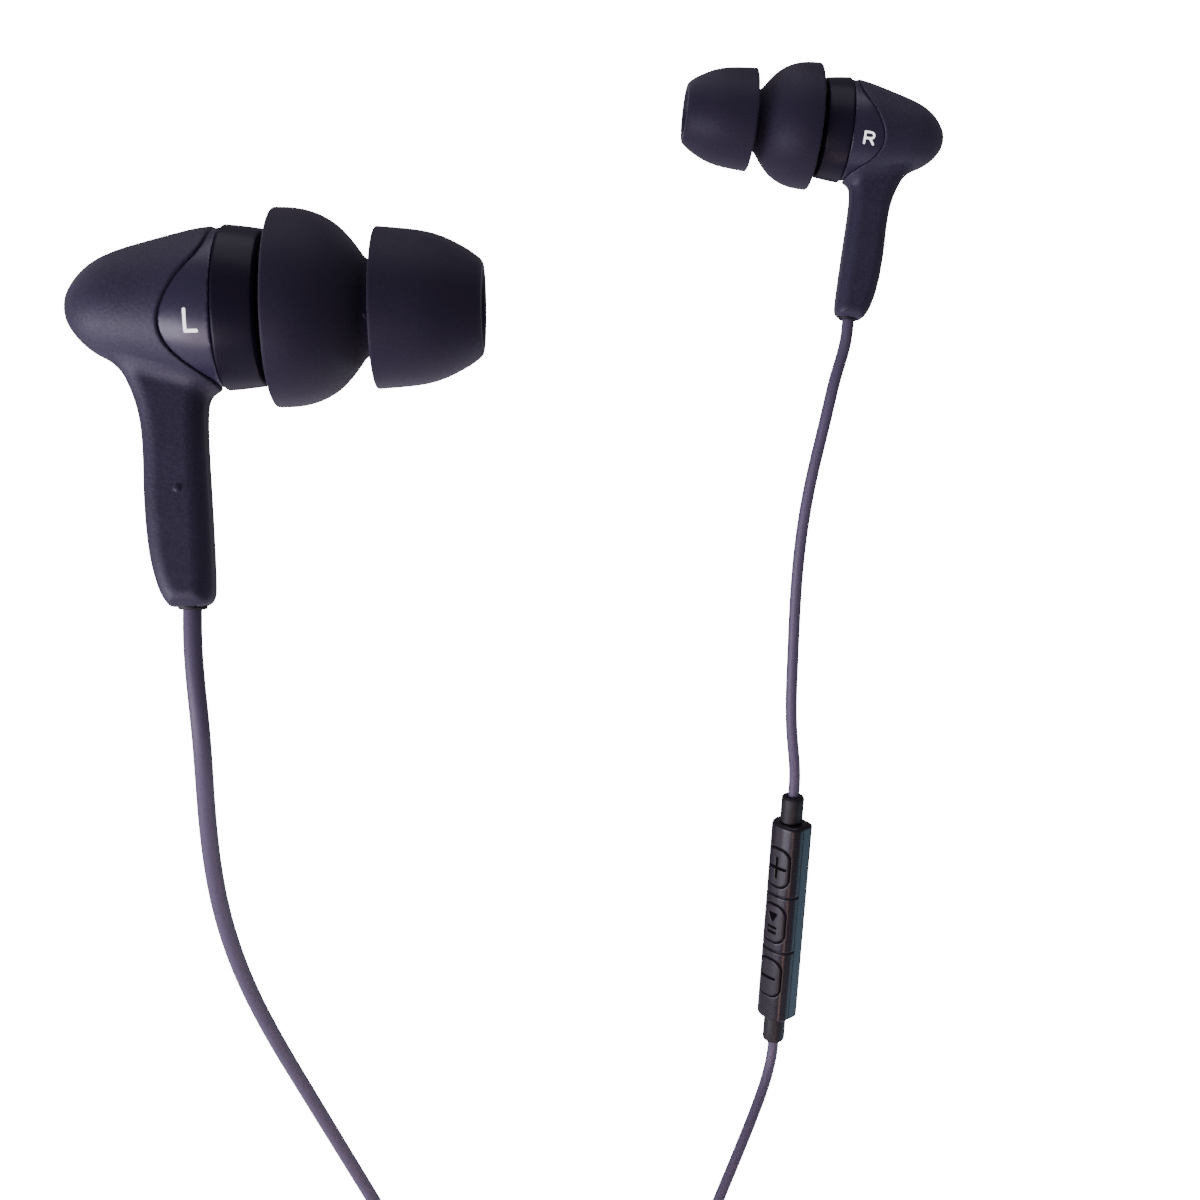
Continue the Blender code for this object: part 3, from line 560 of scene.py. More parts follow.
def small_dome(name, place, turn, radius, height, body, slot, mats):
    """A small raised mark on the left earpiece."""
    profile = [(height * math.sin(a), radius * math.cos(a)) for a in np.linspace(0, math.pi / 2, 7)]
    profile = [(-0.1, 0.0), (-0.1, radius), *profile[:-1], (height, 0.0)]
    at = earpiece_frame("left") @ placed(place) @ degrees_about("X", turn)
    shown(turned(name, profile, mats[slot], at, 32, False, "Z", 60.0), body, slot)


# Remote


def remote_bar(p, grown=0.0):
    """The remote's body: a crowned front, a flat back between round corners, and softened ends."""
    width, depth, height = (side + 2 * grown for side in REMOTE_SIZE)
    x, y = np.abs(p[:, 0]) * 2 / width, np.maximum(-p[:, 1], 0) * 2 / depth
    level = np.maximum((x**REMOTE_CROWN + y**REMOTE_CROWN) ** (1 / REMOTE_CROWN), 0.05)
    steep = np.hypot(x ** (REMOTE_CROWN - 1) * 2 / width, y ** (REMOTE_CROWN - 1) * 2 / depth)
    front = (level - 1) * level ** (REMOTE_CROWN - 1) / np.maximum(steep, 0.02)
    back = rounded_rectangle(p[:, 0], p[:, 1], width, depth, REMOTE_CORNER + grown)
    return round_max(np.where(p[:, 1] < 0, front, back), np.abs(p[:, 2]) - height / 2, REMOTE_END_ROUND)


def windows(p):
    found = np.full(len(p), np.inf)
    for z in BUTTON_HEIGHTS.values():
        found = np.minimum(found, rounded_rectangle(p[:, 0], p[:, 2] - z, *WINDOW_SIZE, WINDOW_ROUND))
    return found


def remote_shell_field(p, front):
    body = remote_bar(p)
    shell = np.maximum(body, (p[:, 1] if front else -p[:, 1]) + SEAM_GAP)
    around, along = np.hypot(p[:, 0], p[:, 1]), np.abs(p[:, 2])
    ends = np.maximum(around - (SLEEVE_NECK + BORE_GAP), SLEEVE_INNER_END - along)
    seats = np.maximum(around - SEAT_RADIUS, np.abs(along - SEAT_Z) - SEAT_HALF)
    shell = np.maximum(shell, -np.minimum(np.minimum(block(p, *REMOTE_CAVITY), ends), seats))
    if not front:
        port = np.hypot(p[:, 0], p[:, 2] - MICROPHONE_Z) - PORT_RADIUS
        return round_max(shell, -port, PORT_RIM)
    shell = round_max(shell, -np.maximum(windows(p), p[:, 1] - WINDOW_BACK), WINDOW_RIM)
    heights = sorted(BUTTON_HEIGHTS.values())
    for low, high in zip(heights, heights[1:]):
        groove = np.hypot(p[:, 2] - (low + high) / 2, (body - 0.02) * 0.7) - GROOVE_RADIUS
        shell = round_max(shell, -groove, GROOVE_ROUND)
    return shell


def symbol_distance(name, u, v):
    if name == "volume_up":
        return stroke_distance([[(-1.2, 0), (1.2, 0)], [(0, -1.2), (0, 1.2)]], u, v) - 0.15
    if name == "volume_down":
        return stroke_distance([[(-0.95, 0), (0.95, 0)]], u, v) - 0.16
    play = polygon_distance([(-0.62, 1.3), (0.62, 1.3), (0.0, 0.25)], u, v) - 0.06
    bars = stroke_distance([[(-0.58, -0.5), (0.58, -0.5)], [(-0.58, -1.15), (0.58, -1.15)]], u, v) - 0.13
    return np.minimum(play, bars)


def button_field(p, name):
    z = BUTTON_HEIGHTS[name]
    width, height = (side - 2 * BUTTON_GAP for side in WINDOW_SIZE)
    outline = rounded_rectangle(p[:, 0], p[:, 2] - z, width, height, WINDOW_ROUND - BUTTON_GAP)
    skin = remote_bar(p, BUTTON_PROUD)
    cap = np.maximum(round_max(skin, outline, BUTTON_RIM), p[:, 1] - CAP_BACK)
    sign = np.maximum(symbol_distance(name, p[:, 0], p[:, 2] - z), -(skin + SYMBOL_DEPTH))
    cap = round_max(cap, -sign, SYMBOL_RIM)
    half_width, half_plate, half_core = BUTTON_PLATE[0] / 2, BUTTON_PLATE[1] / 2, height / 2 - 0.5
    core = block(p, (-half_width, -1.35, z - half_core), (half_width, BUTTON_BACK, z + half_core))
    plate = block(p, (-half_width, PLATE_FRONT, z - half_plate), (half_width, BUTTON_BACK, z + half_plate))
    return np.minimum(cap, np.minimum(core, plate))


def button_sign_shade(name, mats):
    """A near-black sheet laid inside a button's engraved sign: painted shade in the recess."""
    z = BUTTON_HEIGHTS[name]

    def field(p):
        sign = symbol_distance(name, p[:, 0], p[:, 2] - z) + 0.01
        layer = np.abs(remote_bar(p, BUTTON_PROUD) + 0.06) - 0.03
        return np.maximum(np.maximum(sign, layer), p[:, 1] + 1.3)

    obj = sculpt(f"remote_symbol_painted_shade_{name}", field, (-1.45, -2.05, z - 1.5), (1.45, -1.4, z + 1.5), 0.04,
                 mats["symbol_painted_shade"], remote_frame())  # fmt: skip
    return shown(obj, name + "_button", "remote_plastic")


def remote(mats):
    frame = remote_frame()
    width, depth, height = REMOTE_SIZE
    pieces = []
    for part, front in (("front", True), ("back", False)):
        low = (-width / 2 - 0.2, -depth / 2 - 0.2 if front else -0.2, -height / 2 - 0.2)
        high = (width / 2 + 0.2, 0.2 if front else depth / 2 + 0.2, height / 2 + 0.2)
        obj = sculpt(f"remote_{part}_case", lambda p, front=front: remote_shell_field(p, front), low, high,
                     0.6 * CELL, mats["remote_plastic"], frame, 50.0)  # fmt: skip
        pieces.append(shown(obj, "root", "remote_plastic", f"remote_{part}_shell"))
    for name, z in BUTTON_HEIGHTS.items():
        obj = sculpt(f"remote_key_{name}", lambda p, name=name: button_field(p, name), (-1.9, -2.15, z - 3.3),
                     (1.9, -0.4, z + 3.3), 0.45 * CELL, mats["remote_button"], frame)  # fmt: skip
        pieces.append(shown(obj, name + "_button", "remote_plastic", f"remote_button_{name}"))
        pieces.append(bpy.data.objects[f"remote_switch_{name}"])
        pieces.append(button_sign_shade(name, mats))
    for end, length in SLEEVE_LENGTHS.items():
        half, bore = height / 2, CORD_DIAMETER / 2 + BORE_GAP
        corners = [(half + length, SLEEVE_RADIUS, 0.35), (half + 0.05, SLEEVE_RADIUS, 0.12)]
        corners += [(half + 0.05, SLEEVE_NECK, 0.02), (half - 0.75, SLEEVE_NECK, 0.02)]
        corners += [(half - 0.75, 0.97, 0.05), (half - 1.25, 0.97, 0.05), (half - 1.25, bore, 0.02)]
        corners += [(half + length, bore, 0.1)]
        at = frame if end == "top" else frame @ degrees_about("X", 180)
        obj = rounded_turning(f"remote_{end}_sleeve_collar", corners, mats["moulded_rubber"], at, 72, "Z")
        pieces.append(shown(obj, "root", "moulded_rubber", f"remote_{end}_sleeve"))
    return pieces + [bpy.data.objects["remote_circuit_board"], bpy.data.objects["remote_microphone"]]


# Cords


def smooth_route(points, spacing):
    """Points at this spacing on the natural cubic curve through the given points."""
    points = np.array(points, float)
    steps = np.linalg.norm(np.diff(points, axis=0), axis=1)
    along = np.concatenate([[0.0], np.cumsum(steps)])
    count = len(points)
    system = np.eye(count)
    right = np.zeros((count, 3))
    for i in range(1, count - 1):
        before, after = steps[i - 1], steps[i]
        system[i, i - 1 : i + 2] = before, 2 * (before + after), after
        right[i] = 6 * ((points[i + 1] - points[i]) / after - (points[i] - points[i - 1]) / before)
    bend = np.linalg.solve(system, right)
    at = np.linspace(0.0, along[-1], max(2, round(along[-1] / spacing) + 1))
    span = np.clip(np.searchsorted(along, at) - 1, 0, count - 2)
    width = steps[span][:, None]
    to_next = (along[span + 1] - at)[:, None]
    from_last = (at - along[span])[:, None]
    curve = (bend[span] * to_next**3 + bend[span + 1] * from_last**3) / (6 * width)
    curve += (points[span] / width - bend[span] * width / 6) * to_next
    curve += (points[span + 1] / width - bend[span + 1] * width / 6) * from_last
    return curve


def cord_exit(side, beyond=0.0):
    low = STEM_BOTTOM - BUSH_PROUD - FACE_GAP - beyond
    return in_mm(earpiece_frame(side), (CORD_X, 0.0, low))


def sleeve_end(end, beyond):
    up = 1 if end == "top" else -1
    return in_mm(remote_frame(), (0, 0, up * (REMOTE_SIZE[2] / 2 + SLEEVE_LENGTHS[end] + beyond)))


def waist(z):
    return HANK_WAIST * (1 + math.cos(2 * math.pi * z / HANK_RUN)) / 2


def hank_point(turns, ring, y):
    """A point of the hank: a turn goes down the right run, round, up the left run and over the top."""
    radius, half = HANK_INNER_RADIUS + RING_PITCH * ring, HANK_RUN / 2
    part = int(4 * turns) % 4
    t = 4 * turns - int(4 * turns)
    if part in (0, 2):
        side = 1 if part == 0 else -1
        z = side * (half - HANK_RUN * t)
        x = side * (radius - waist(z))
    else:
        side = -1 if part == 1 else 1
        x = -side * radius * math.cos(math.pi * t)
        z = side * (half + radius * math.sin(math.pi * t))
    return tuple(np.array(HANK_CENTRE) + (x, y, z))


def wound(knots, first, last, each=16):
    """Points of a winding from (turns, ring, y) knots, this many to a turn."""
    at = np.linspace(first, last, int(round((last - first) * each)) + 1)
    turns, rings, depths = np.array(knots).T
    return [hank_point(t, np.interp(t, turns, rings), np.interp(t, turns, depths)) for t in at]


def layer(k):
    """The y of a layer of the hank, counted from the back."""
    return (1.5 - k) * LAYER_PITCH


def in_hank(x, y, z):
    return tuple(np.array(HANK_CENTRE) + (x, y, z))


def cord_piece(name, points, diameter, exit_point, far_end, with_pieces, material, *nodes):
    """A free cord along a smooth curve, which stands for its CAD solids."""
    curve = bpy.data.curves.new(name, "CURVE")
    curve.dimensions = "3D"
    curve.bevel_depth = diameter / 2 * MM
    curve.bevel_resolution = 6
    curve.use_fill_caps = True
    route = smooth_route(points, 0.9)
    spline = curve.splines.new("POLY")
    spline.points.add(len(route) - 1)
    for point, place in zip(spline.points, route):
        point.co = (*(place * MM), 1.0)
    spline.use_smooth = True
    curve.materials.append(material)
    obj = object_of(name, curve)
    shown(obj, "root", "cable", *nodes)


def cords(mats, remote_pieces, splitter, tie, plug_pieces):
    front, second, third, rear = layer(3), layer(2), layer(1), layer(0)
    left_knots = [(0, 4, front), (0.25, 3.4, front), (0.375, 3.1, front), (0.5, 3, front), (1, 2.75, front),
                  (1.25, 2.4, front), (1.375, 2.1, front), (1.5, 2, front), (2.3, 1.75, front)]  # fmt: skip
    right_knots = [(0, 4, second), (0.25, 3.4, second), (0.375, 3.1, second), (0.5, 3, second),
                   (1, 2.75, second), (1.25, 2.3, second), (1.375, 2, second), (1.5, 1.6, second),
                   (1.75, 0.8, -2.2), (1.85, 0.7, front), (2.3, 0.65, front)]  # fmt: skip
    main_knots = [(0.5, 4, 0.2), (0.7, 3.85, third), (3.72, 0.78, third), (3.85, 0.67, 1.4),
                  (4.05, 0.8, rear), (7.25, 4, rear)]  # fmt: skip
    top = SPLITTER_OFFSET[1] + SPLITTER_SIZE[2] / 2
    bottom = top - SPLITTER_SIZE[2]
    face = -(HANK_FACE + SPLITTER_SIZE[1] / 2)
    x = SPLITTER_OFFSET[0]

    left = [cord_exit("left", -1.6), cord_exit("left", EXIT_RUN)] + LEFT_CORD
    left += wound(left_knots, 0.0, 2.14)
    left += [in_hank(x + 0.6, front - 0.5, -4.8), in_hank(x + 0.9, face + 0.35, -7.0)]
    left += [in_hank(x + 0.95, face, top - 0.3), in_hank(x + 0.95, face, top - 1.6)]
    cord_piece("left_cord", left, CORD_DIAMETER, cord_exit("left"), "fitting", [splitter], mats["cable"],
               "cord_left")  # fmt: skip

    upper = [cord_exit("right", -1.6), cord_exit("right", EXIT_RUN)] + RIGHT_UPPER_CORD
    upper += [sleeve_end("top", EXIT_RUN), sleeve_end("top", -1.2)]
    cord_piece("right_upper_cord", upper, CORD_DIAMETER, cord_exit("right"), "fitting", remote_pieces,
               mats["cable"], "cord_right_upper")  # fmt: skip

    lower = [sleeve_end("bottom", -1.2), sleeve_end("bottom", EXIT_RUN)] + RIGHT_LOWER_CORD
    lower += wound(right_knots, 0.0, 2.14)
    lower += [in_hank(x - 1.25, front - 0.5, -4.8), in_hank(x - 1.0, face + 0.35, -7.0)]
    lower += [in_hank(x - 0.95, face, top - 0.3), in_hank(x - 0.95, face, top - 1.6)]
    cord_piece("right_lower_cord", lower, CORD_DIAMETER, sleeve_end("bottom", 0), "fitting", [splitter],
               mats["cable"], "cord_right_lower")  # fmt: skip

    end = in_hank(0, 0, bottom)[2]
    main = [in_hank(x, face, bottom + 1.6), in_hank(x, face, bottom - 0.2), in_hank(5.3, face - 0.05, -23.3)]
    main += [in_hank(2.6, -4.6, -25.1), in_hank(-1.0, -3.9, -25.3), in_hank(-4.5, -2.9, -24.4)]
    main += [in_hank(-7.8, -1.7, -22.2), in_hank(-10.2, -0.6, -19.2)]
    main += wound(main_knots, 0.5, 7.25)
    main += [in_hank(HANK_OUTER_RADIUS, rear, z) for z in (-16.5, -19.8, -24.0, -28.0, -31.8, -34.0)]
    exit_point = (in_hank(x, face, 0)[0], in_hank(x, face, 0)[1], end)
    cord_piece("main_cord", main, MAIN_DIAMETER, exit_point, "plug", [*plug_pieces, tie], mats["cable"],
               "cord_hank", "cord_main_tail")  # fmt: skip


def hank_tie(mats):
    """The rubber strap round the hank's middle: a rounded section swept round a rounded rectangle."""
    half_x = HANK_OUTER_RADIUS + MAIN_DIAMETER / 2 - waist(TIE_WIDTH / 2) + TIE_GAP
    half_width = TIE_WIDTH / 2
    corners = [(0, -half_width), (TIE_THICKNESS, -half_width), (TIE_THICKNESS, half_width), (0, half_width)]
    section = filleted(corners, [0.2, 0.5, 0.5, 0.2], 5)
    path = []
    for corner in range(4):
        cx = (half_x - TIE_CORNER) * (1 if corner in (0, 3) else -1)
        cy = (HANK_FACE - TIE_CORNER) * (1 if corner in (0, 1) else -1)
        for i in range(9):
            angle = math.pi / 2 * (corner + i / 8)
            path.append(((cx, cy), (math.cos(angle), math.sin(angle))))
    points, faces = [], []
    for (cx, cy), (nx, ny) in path:
        points += [(cx + nx * (TIE_CORNER + out), cy + ny * (TIE_CORNER + out), z) for out, z in section]
    size = len(section)
    for i in range(len(path)):
        near, far = i * size, (i + 1) % len(path) * size
        for j in range(size):
            k = (j + 1) % size
            faces.append((near + j, far + j, far + k, near + k))
    obj = mesh_object("hank_strap", points, faces, mats["tie_strap"], placed(HANK_CENTRE), 50.0)
    return shown(obj, "root", "tie_strap", "hank_tie")


def splitter(mats):
    """Where the two thin cords join the main one: a rounded block with a hole for each."""
    width, thickness, height = SPLITTER_SIZE
    x, z = SPLITTER_OFFSET
    y = -(HANK_FACE + thickness / 2)

    def field(p):
        taper = 0.18 * np.clip(-p[:, 2] / height + 0.5, 0, 1)
        body = rounded_rectangle(p[:, 0], p[:, 1], width - taper, thickness - taper, 1.0)
        body = round_max(body, np.abs(p[:, 2]) - height / 2, 0.5)
        for level in (-0.55, 0.0, 0.55):
            rib = np.hypot(p[:, 2] - height / 2 + 1.9 + level, (body + 0.02) * 0.9) - 0.1
            body = round_max(body, -rib, 0.04)
        holes = np.hypot(p[:, 0] - 0.95, p[:, 1]), np.hypot(p[:, 0] + 0.95, p[:, 1])
        thin = np.maximum(np.minimum(*holes) - CORD_DIAMETER / 2 - 0.05, height / 2 - 2 - p[:, 2])
        thick = np.maximum(np.hypot(p[:, 0], p[:, 1]) - MAIN_DIAMETER / 2 - 0.05, p[:, 2] + height / 2 - 2)
        return round_max(body, -np.minimum(thin, thick), 0.12)

    half = np.array(SPLITTER_SIZE) / 2 + 0.25
    obj = sculpt("cord_splitter", field, -half, half, 0.7 * CELL, mats["moulded_rubber"],
                 placed(in_hank(x, y, z)))  # fmt: skip
    return shown(obj, "root", "moulded_rubber", "splitter")


def contact_band(top, bottom):
    edges = [(top, PIN_RADIUS, 0.08), (bottom, PIN_RADIUS, 0.08)]
    return edges + [(bottom, CONTACT_BORE, 0.02), (top, CONTACT_BORE, 0.02)]


def plug(mats):
    """The plug's moulded relief and grip, and its four contacts."""
    frame = placed(in_hank(HANK_OUTER_RADIUS, layer(0), -HANK_RUN / 2 - 6.3 - PLUG_DROP - FACE_GAP))
    bore = MAIN_DIAMETER / 2 + 0.05
    relief = [(0, bore, 0.05), (0, 1.25, 0.12)]
    for i in range(6):
        top, size = -0.9 - 1.3 * i, 1.3 + 0.09 * i
        relief += [(top, size + 0.06, 0.1), (top - 0.1, size - 0.22, 0.1), (top - 0.5, size - 0.22, 0.1)]
        relief += [(top - 0.6, size + 0.07, 0.1)]
    relief += [(-9.0, 2.0, 0.15), (-9.0, bore, 0.05)]
    grip = [(-9.1, 2.1, 0.1), (-9.7, 2.6, 0.6), (-13.6, 2.75, 3)]
    for i in range(5):
        top = -14.6 - 1.1 * i
        grip += [(top, 2.75, 0.1), (top - 0.16, 2.58, 0.1), (top - 0.4, 2.58, 0.1), (top - 0.56, 2.75, 0.1)]
    grip += [(-22.4, 2.75, 0.3), (-23.0, 2.45, 0.25), (-23.0, 1.35, 0.05), (-9.1, 1.35, 0.05)]
    sleeve = [(-18, 1.3, 0.02), (-23.05, 1.3, 0.02), (-23.05, PIN_RADIUS, 0.08)]
    sleeve += [(-27.3, PIN_RADIUS, 0.08), (-27.3, CONTACT_BORE, 0.02), (-18, CONTACT_BORE, 0.02)]
    tip = [(-18.5, 0, 0), (-18.5, 0.57, 0.02), (-33.4, 0.57, 0.02), (-33.4, 1.7, 0.08), (-33.7, 1.7, 0.15)]
    tip += [(-34.3, 1.2, 0.3), (-35.1, 1.65, 0.3), (-35.5, 1.65, 0.4), (-37, 0.5, 0.5), (-37.0, 0, 0)]
    pieces = []
    for name, corners, mat, node in (
        ("relief", relief, "moulded_rubber", "strain_relief"),
        ("handle", grip, "moulded_rubber", "grip"),
        ("sleeve", sleeve, "plated_contact", "sleeve_contact"),
        ("ring_2", contact_band(-27.7, -30.3), "plated_contact", "microphone_ring"),
        ("ring_1", contact_band(-30.7, -33), "plated_contact", "right_ring"),
        ("point", tip, "plated_contact", "tip_contact"),
    ):
        obj = rounded_turning(f"plug_{name}", corners, mats[mat], frame, 72, "Z")
        pieces.append(shown(obj, "root", mat, f"plug_{node}"))
    return pieces + [bpy.data.objects["plug_insulator"]]


# Materials


def shader_material(name, color, roughness, metallic=0.0, specular=0.5, sheen=0.0, glow=0.0):
    """A node material with its coordinates in mm, ready for its texture."""
    made = bpy.data.materials.new(name)
    made.use_nodes = True
    tree = made.node_tree
    shader = tree.nodes["Principled BSDF"]
    for socket, value in (
        ("Base Color", (*color, 1)), ("Roughness", roughness), ("Metallic", metallic),
        ("Specular IOR Level", specular), ("Sheen Weight", sheen), ("Emission Strength", glow),
    ):  # fmt: skip
        shader.inputs[socket].default_value = value
    coordinates = tree.nodes.new("ShaderNodeTexCoord")
    mapping = tree.nodes.new("ShaderNodeMapping")
    mapping.inputs["Scale"].default_value = (1000, 1000, 1000)
    tree.links.new(coordinates.outputs["Object"], mapping.inputs["Vector"])
    return made, tree, shader, mapping.outputs["Vector"]


def noise(tree, vector, scale, detail=3.0, roughness=0.5):
    made = tree.nodes.new("ShaderNodeTexNoise")
    made.inputs["Scale"].default_value = scale
    made.inputs["Detail"].default_value = detail
    made.inputs["Roughness"].default_value = roughness
    tree.links.new(vector, made.inputs["Vector"])
    return made.outputs["Fac"]


def ramp(tree, value, *stops):
    """A colour or grey that follows a value, from (place, colour) stops."""
    made = tree.nodes.new("ShaderNodeValToRGB")
    elements = made.color_ramp.elements
    while len(elements) < len(stops):
        elements.new(0.5)
    for element, (place, color) in zip(elements, stops):
        element.position = place
        element.color = (*color, 1) if isinstance(color, tuple) else (color, color, color, 1)
    tree.links.new(value, made.inputs["Fac"])
    return made.outputs["Color"]


def bump(tree, shader, heights, strength, distance_mm):
    """Adds one bump layer over what the shader already has."""
    made = tree.nodes.new("ShaderNodeBump")
    made.inputs["Strength"].default_value = strength
    made.inputs["Distance"].default_value = distance_mm * MM
    tree.links.new(heights, made.inputs["Height"])
    if shader.inputs["Normal"].is_linked:
        tree.links.new(shader.inputs["Normal"].links[0].from_socket, made.inputs["Normal"])
    tree.links.new(made.outputs["Normal"], shader.inputs["Normal"])


def shade(color, amount):
    return tuple(min(1.0, c * amount) for c in color)


def finished(name, color, roughness, grain, spread, bump_strength, bump_mm, rough_spread=0.06, **more):
    """A plain finish with a fine grain in its colour, gloss and surface."""
    made, tree, shader, vector = shader_material(name, color, roughness, **more)
    fine = noise(tree, vector, grain, 4.0, 0.6)
    broad = noise(tree, vector, 0.35, 2.0)
    mixed = tree.nodes.new("ShaderNodeMath")
    mixed.operation = "MULTIPLY_ADD"
    mixed.inputs[1].default_value = 0.7
    tree.links.new(fine, mixed.inputs[0])
    scaled = tree.nodes.new("ShaderNodeMath")
    scaled.operation = "MULTIPLY"
    scaled.inputs[1].default_value = 0.3
    tree.links.new(broad, scaled.inputs[0])
    tree.links.new(scaled.outputs[0], mixed.inputs[2])
    value = mixed.outputs[0]
    darker, lighter = shade(color, 1 - spread), shade(color, 1 + spread)
    colors = ramp(tree, value, (0.32, darker), (0.5, color), (0.68, lighter))
    tree.links.new(colors, shader.inputs["Base Color"])
    rough = ramp(tree, value, (0.3, roughness - rough_spread), (0.7, roughness + rough_spread))
    tree.links.new(rough, shader.inputs["Roughness"])
    bump(tree, shader, fine, bump_strength, bump_mm)
    return made


# Each finish: colour, roughness, grains per mm, colour spread, bump strength and depth in mm, and more
FINISHES = {
    "soft_touch": ((0.034, 0.0285, 0.062), 0.5, 5.0, 0.22, 0.8, 0.035, {"sheen": 0.15}),
    "smooth_plastic": ((0.038, 0.032, 0.068), 0.33, 5.0, 0.05, 0.2, 0.006, {"specular": 0.7}),
    "trim_ring": (
        (0.015, 0.011, 0.026), 0.34, 3.0, 0.04, 0.05, 0.002, {"specular": 0.25, "rough_spread": 0.02},
    ),
    "silicone": ((0.025, 0.019, 0.042), 0.52, 3.0, 0.08, 0.25, 0.012, {"specular": 0.2, "sheen": 0.2}),
    "cable": ((0.13, 0.108, 0.175), 0.5, 5.0, 0.08, 0.3, 0.012, {}),
    "moulded_rubber": ((0.012, 0.0105, 0.013), 0.5, 6.0, 0.1, 0.7, 0.03, {}),
    "remote_plastic": ((0.015, 0.0128, 0.018), 0.27, 8.0, 0.08, 0.3, 0.01, {}),
    "remote_button": ((0.015, 0.0128, 0.018), 0.32, 8.0, 0.08, 0.3, 0.01, {}),
    # Painted shade: near-black for the sheet laid inside the engraved signs, where only shade falls.
    "symbol_painted_shade": ((0.003, 0.0025, 0.004), 0.6, 8.0, 0.1, 0.1, 0.004, {"specular": 0.05}),
    "tie_strap": ((0.02, 0.018, 0.024), 0.6, 4.0, 0.15, 0.5, 0.03, {}),
    # The print's glow is painted brightness: the white print emits light of its own, beyond what the lamps
    # give it.
    "white_print": ((0.95, 0.95, 0.96), 0.5, 14.0, 0.02, 0.1, 0.005, {"glow": 1.5}),
    "steel": ((0.5, 0.5, 0.52), 0.3, 12.0, 0.1, 0.2, 0.004, {"metallic": 1.0}),
    "plated_contact": ((0.76, 0.74, 0.7), 0.2, 3.0, 0.06, 0.1, 0.003, {"metallic": 1.0}),
    "copper": ((0.72, 0.32, 0.16), 0.32, 14.0, 0.15, 0.4, 0.01, {"metallic": 1.0}),
    "film": ((0.36, 0.33, 0.28), 0.25, 4.0, 0.08, 0.2, 0.006, {}),
    "circuit_board": ((0.015, 0.07, 0.03), 0.4, 5.0, 0.3, 0.3, 0.01, {}),
    "insulator": ((0.03, 0.03, 0.03), 0.45, 6.0, 0.1, 0.2, 0.005, {}),
}  # fmt: skip


def materials():
    return {name: finished(name, *values, **more) for name, (*values, more) in FINISHES.items()}


CAD_FINISHES = {
    "driver_frame": "steel", "driver_magnet": "steel", "voice_coil": "copper", "diaphragm": "film",
    "circuit_board": "circuit_board", "switch": "steel", "microphone": "steel", "plug_insulator": "insulator",
}  # fmt: skip


def finish_cad_nodes(nodes, mats):
    """The inner pieces whose CAD shape stays get their finish."""
    for name, node in nodes.items():
        if node.hide_render:
            continue
        key = next(k for k in CAD_FINISHES if k in name)
        node.data.materials.clear()
        node.data.materials.append(mats[CAD_FINISHES[key]])


# Stage

CAMERA_PLACE, CAMERA_TILT, CAMERA_LENS, CAMERA_SENSOR = (7.84, -121.0, 23.05), 70.0, 54.0, 36.0
ROOM_SIDE, ROOM_FLOOR, ROOM_GLOW = 4000, -260, 16.0
WORLD_COLOR, WORLD_STRENGTH = (0.93, 0.82, 1.0), 0.17
LIGHTS = [  # name, place, the point it faces, size, watts, colour
    ("key", (-425, -235, -170), (0, 30, -20), (400, 240), 2.0, (0.87, 0.82, 1.0)),
    ("front", (-110, -210, -120), (0, 0, -5), (140, 140), 0.2, (1.0, 0.83, 1.0)),
    ("low_left", (-400, 30, -230), (0, 30, -20), (250, 150), 0.1, (0.95, 0.78, 1.0)),
    ("top", (20, 60, 330), (10, 40, 0), (420, 300), 0.42, (0.88, 0.84, 1.0)),
    ("under", (0, 60, -250), (0, 60, 0), (500, 500), 0.35, (0.9, 0.82, 1.0)),
    ("cool_side", (98, 64, -125), (29, 65, -85), (30, 60), 0.008, (0.4, 0.75, 1.0)),
    ("warm_ridge", (30, -5, -125), (29, 65, -85), (10, 60), 0.012, (1.0, 0.6, 0.5)),
]


def area_light(name, place, aim, size, watts, color):
    light = bpy.data.lights.new(name, "AREA")
    light.shape = "RECTANGLE"
    light.size, light.size_y = (side * MM for side in size)
    light.energy = watts
    light.color = color
    obj = object_of(name, light)
    obj.location = Vector(place) * MM
    obj.rotation_euler = (Vector(aim) - Vector(place)).to_track_quat("-Z", "Y").to_euler()
    obj.visible_camera = False


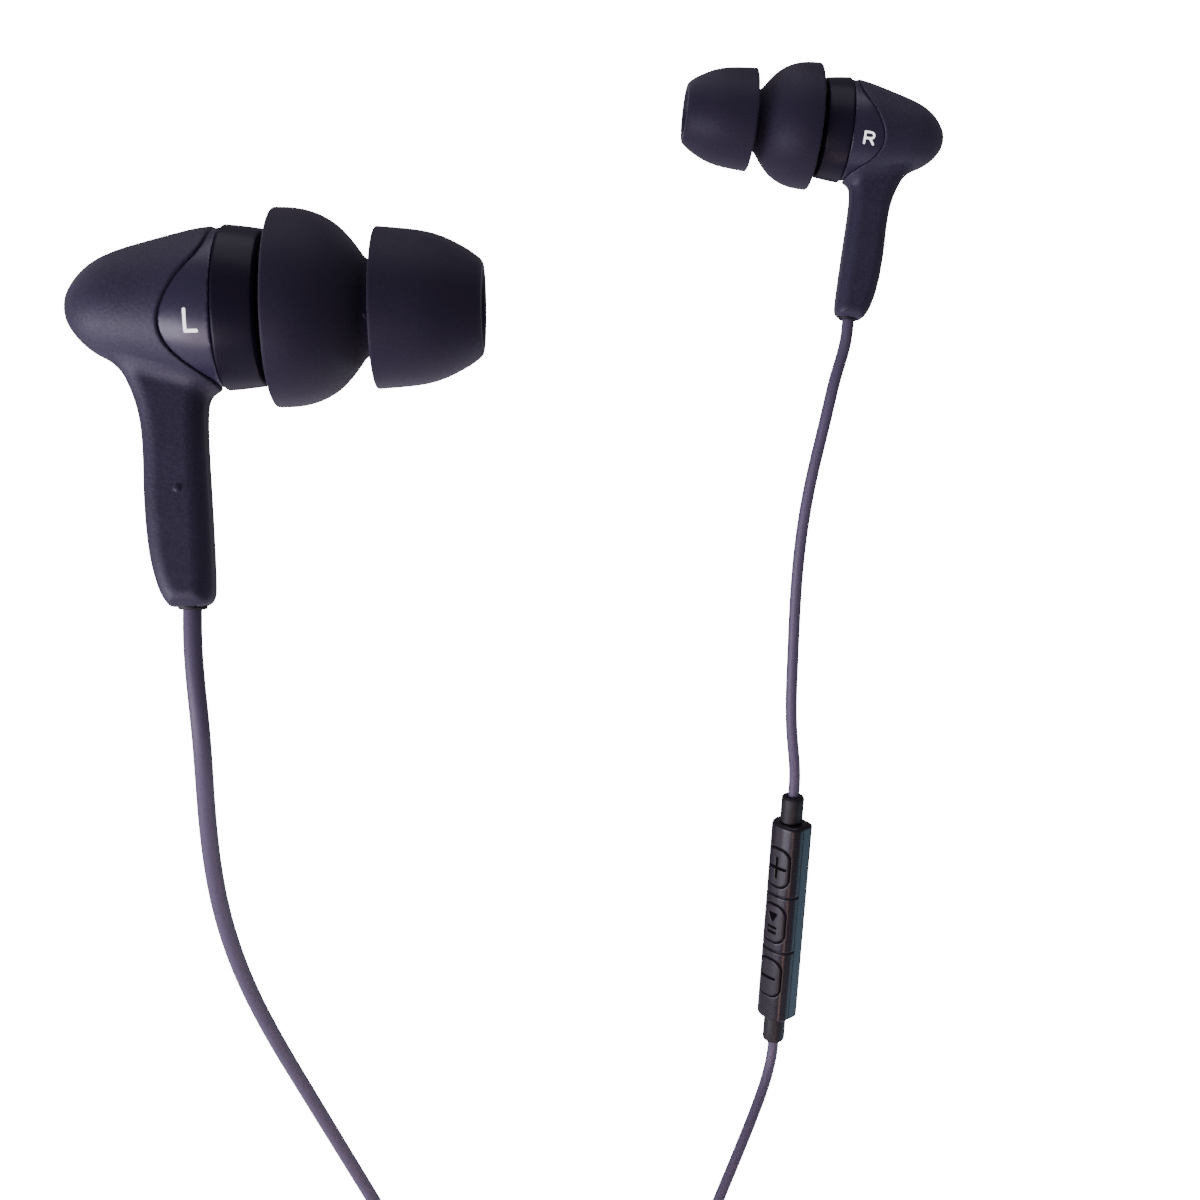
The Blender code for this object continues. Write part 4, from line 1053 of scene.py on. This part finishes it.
def studio_room():
    """A plain white room that only the camera sees."""
    around = [(x * ROOM_SIDE, y * ROOM_SIDE) for x, y in ((-1, -1), (1, -1), (1, 1), (-1, 1))]
    corners = [(x, y, z) for z in (ROOM_FLOOR, ROOM_SIDE) for x, y in around]
    faces = [(0, 1, 2, 3), (7, 6, 5, 4), (0, 4, 5, 1), (1, 5, 6, 2), (2, 6, 7, 3), (3, 7, 4, 0)]
    material = shader_material("studio_room", (0.9, 0.9, 0.9), 0.9, glow=ROOM_GLOW)[0]
    room = mesh_object("studio_room", corners, faces, material)
    room.visible_diffuse = False
    room.visible_glossy = False
    room.visible_shadow = False
    room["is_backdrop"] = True


def stage():
    studio_room()
    world = bpy.data.worlds.new("studio")
    world.use_nodes = True
    world.node_tree.nodes["Background"].inputs["Color"].default_value = (*WORLD_COLOR, 1)
    world.node_tree.nodes["Background"].inputs["Strength"].default_value = WORLD_STRENGTH
    bpy.context.scene.world = world
    for light in LIGHTS:
        area_light(*light)


def camera():
    data = bpy.data.cameras.new("camera")
    data.lens, data.sensor_width = CAMERA_LENS, CAMERA_SENSOR
    data.clip_start, data.clip_end = 0.001, 200.0
    obj = object_of("camera", data)
    obj.location = Vector(CAMERA_PLACE) * MM
    obj.rotation_euler = (math.radians(CAMERA_TILT), 0, 0)
    bpy.context.scene.camera = obj


def main():
    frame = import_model()
    cad_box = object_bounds()
    mats = materials()
    camera()
    stage()
    strap = hank_tie(mats)
    joint = splitter(mats)
    plug_pieces = plug(mats)
    remote_pieces = remote(mats)
    cords(mats, remote_pieces, joint, strap, plug_pieces)
    housings(mats)
    for side in EARPIECES:
        ring_and_nozzle(side, mats)
        ear_tip(side, mats)
        cord_bush(side, mats)
    dot_place = (-5.4, -STEM_THICKNESS / 2, -12.3)
    small_dome("left_touch_dot", dot_place, 90, 0.28, 0.19, "root", "soft_touch", mats)
    small_dome("left_tip_nub", (7.33, -2.95, -0.97), 108, 0.2, 0.55, "left_tip", "silicone", mats)
    finish_cad_nodes(frame["nodes"], mats)
    bpy.context.view_layer.update()
    sizes = [list(corner) for corner in (*cad_box, *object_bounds())]


main()
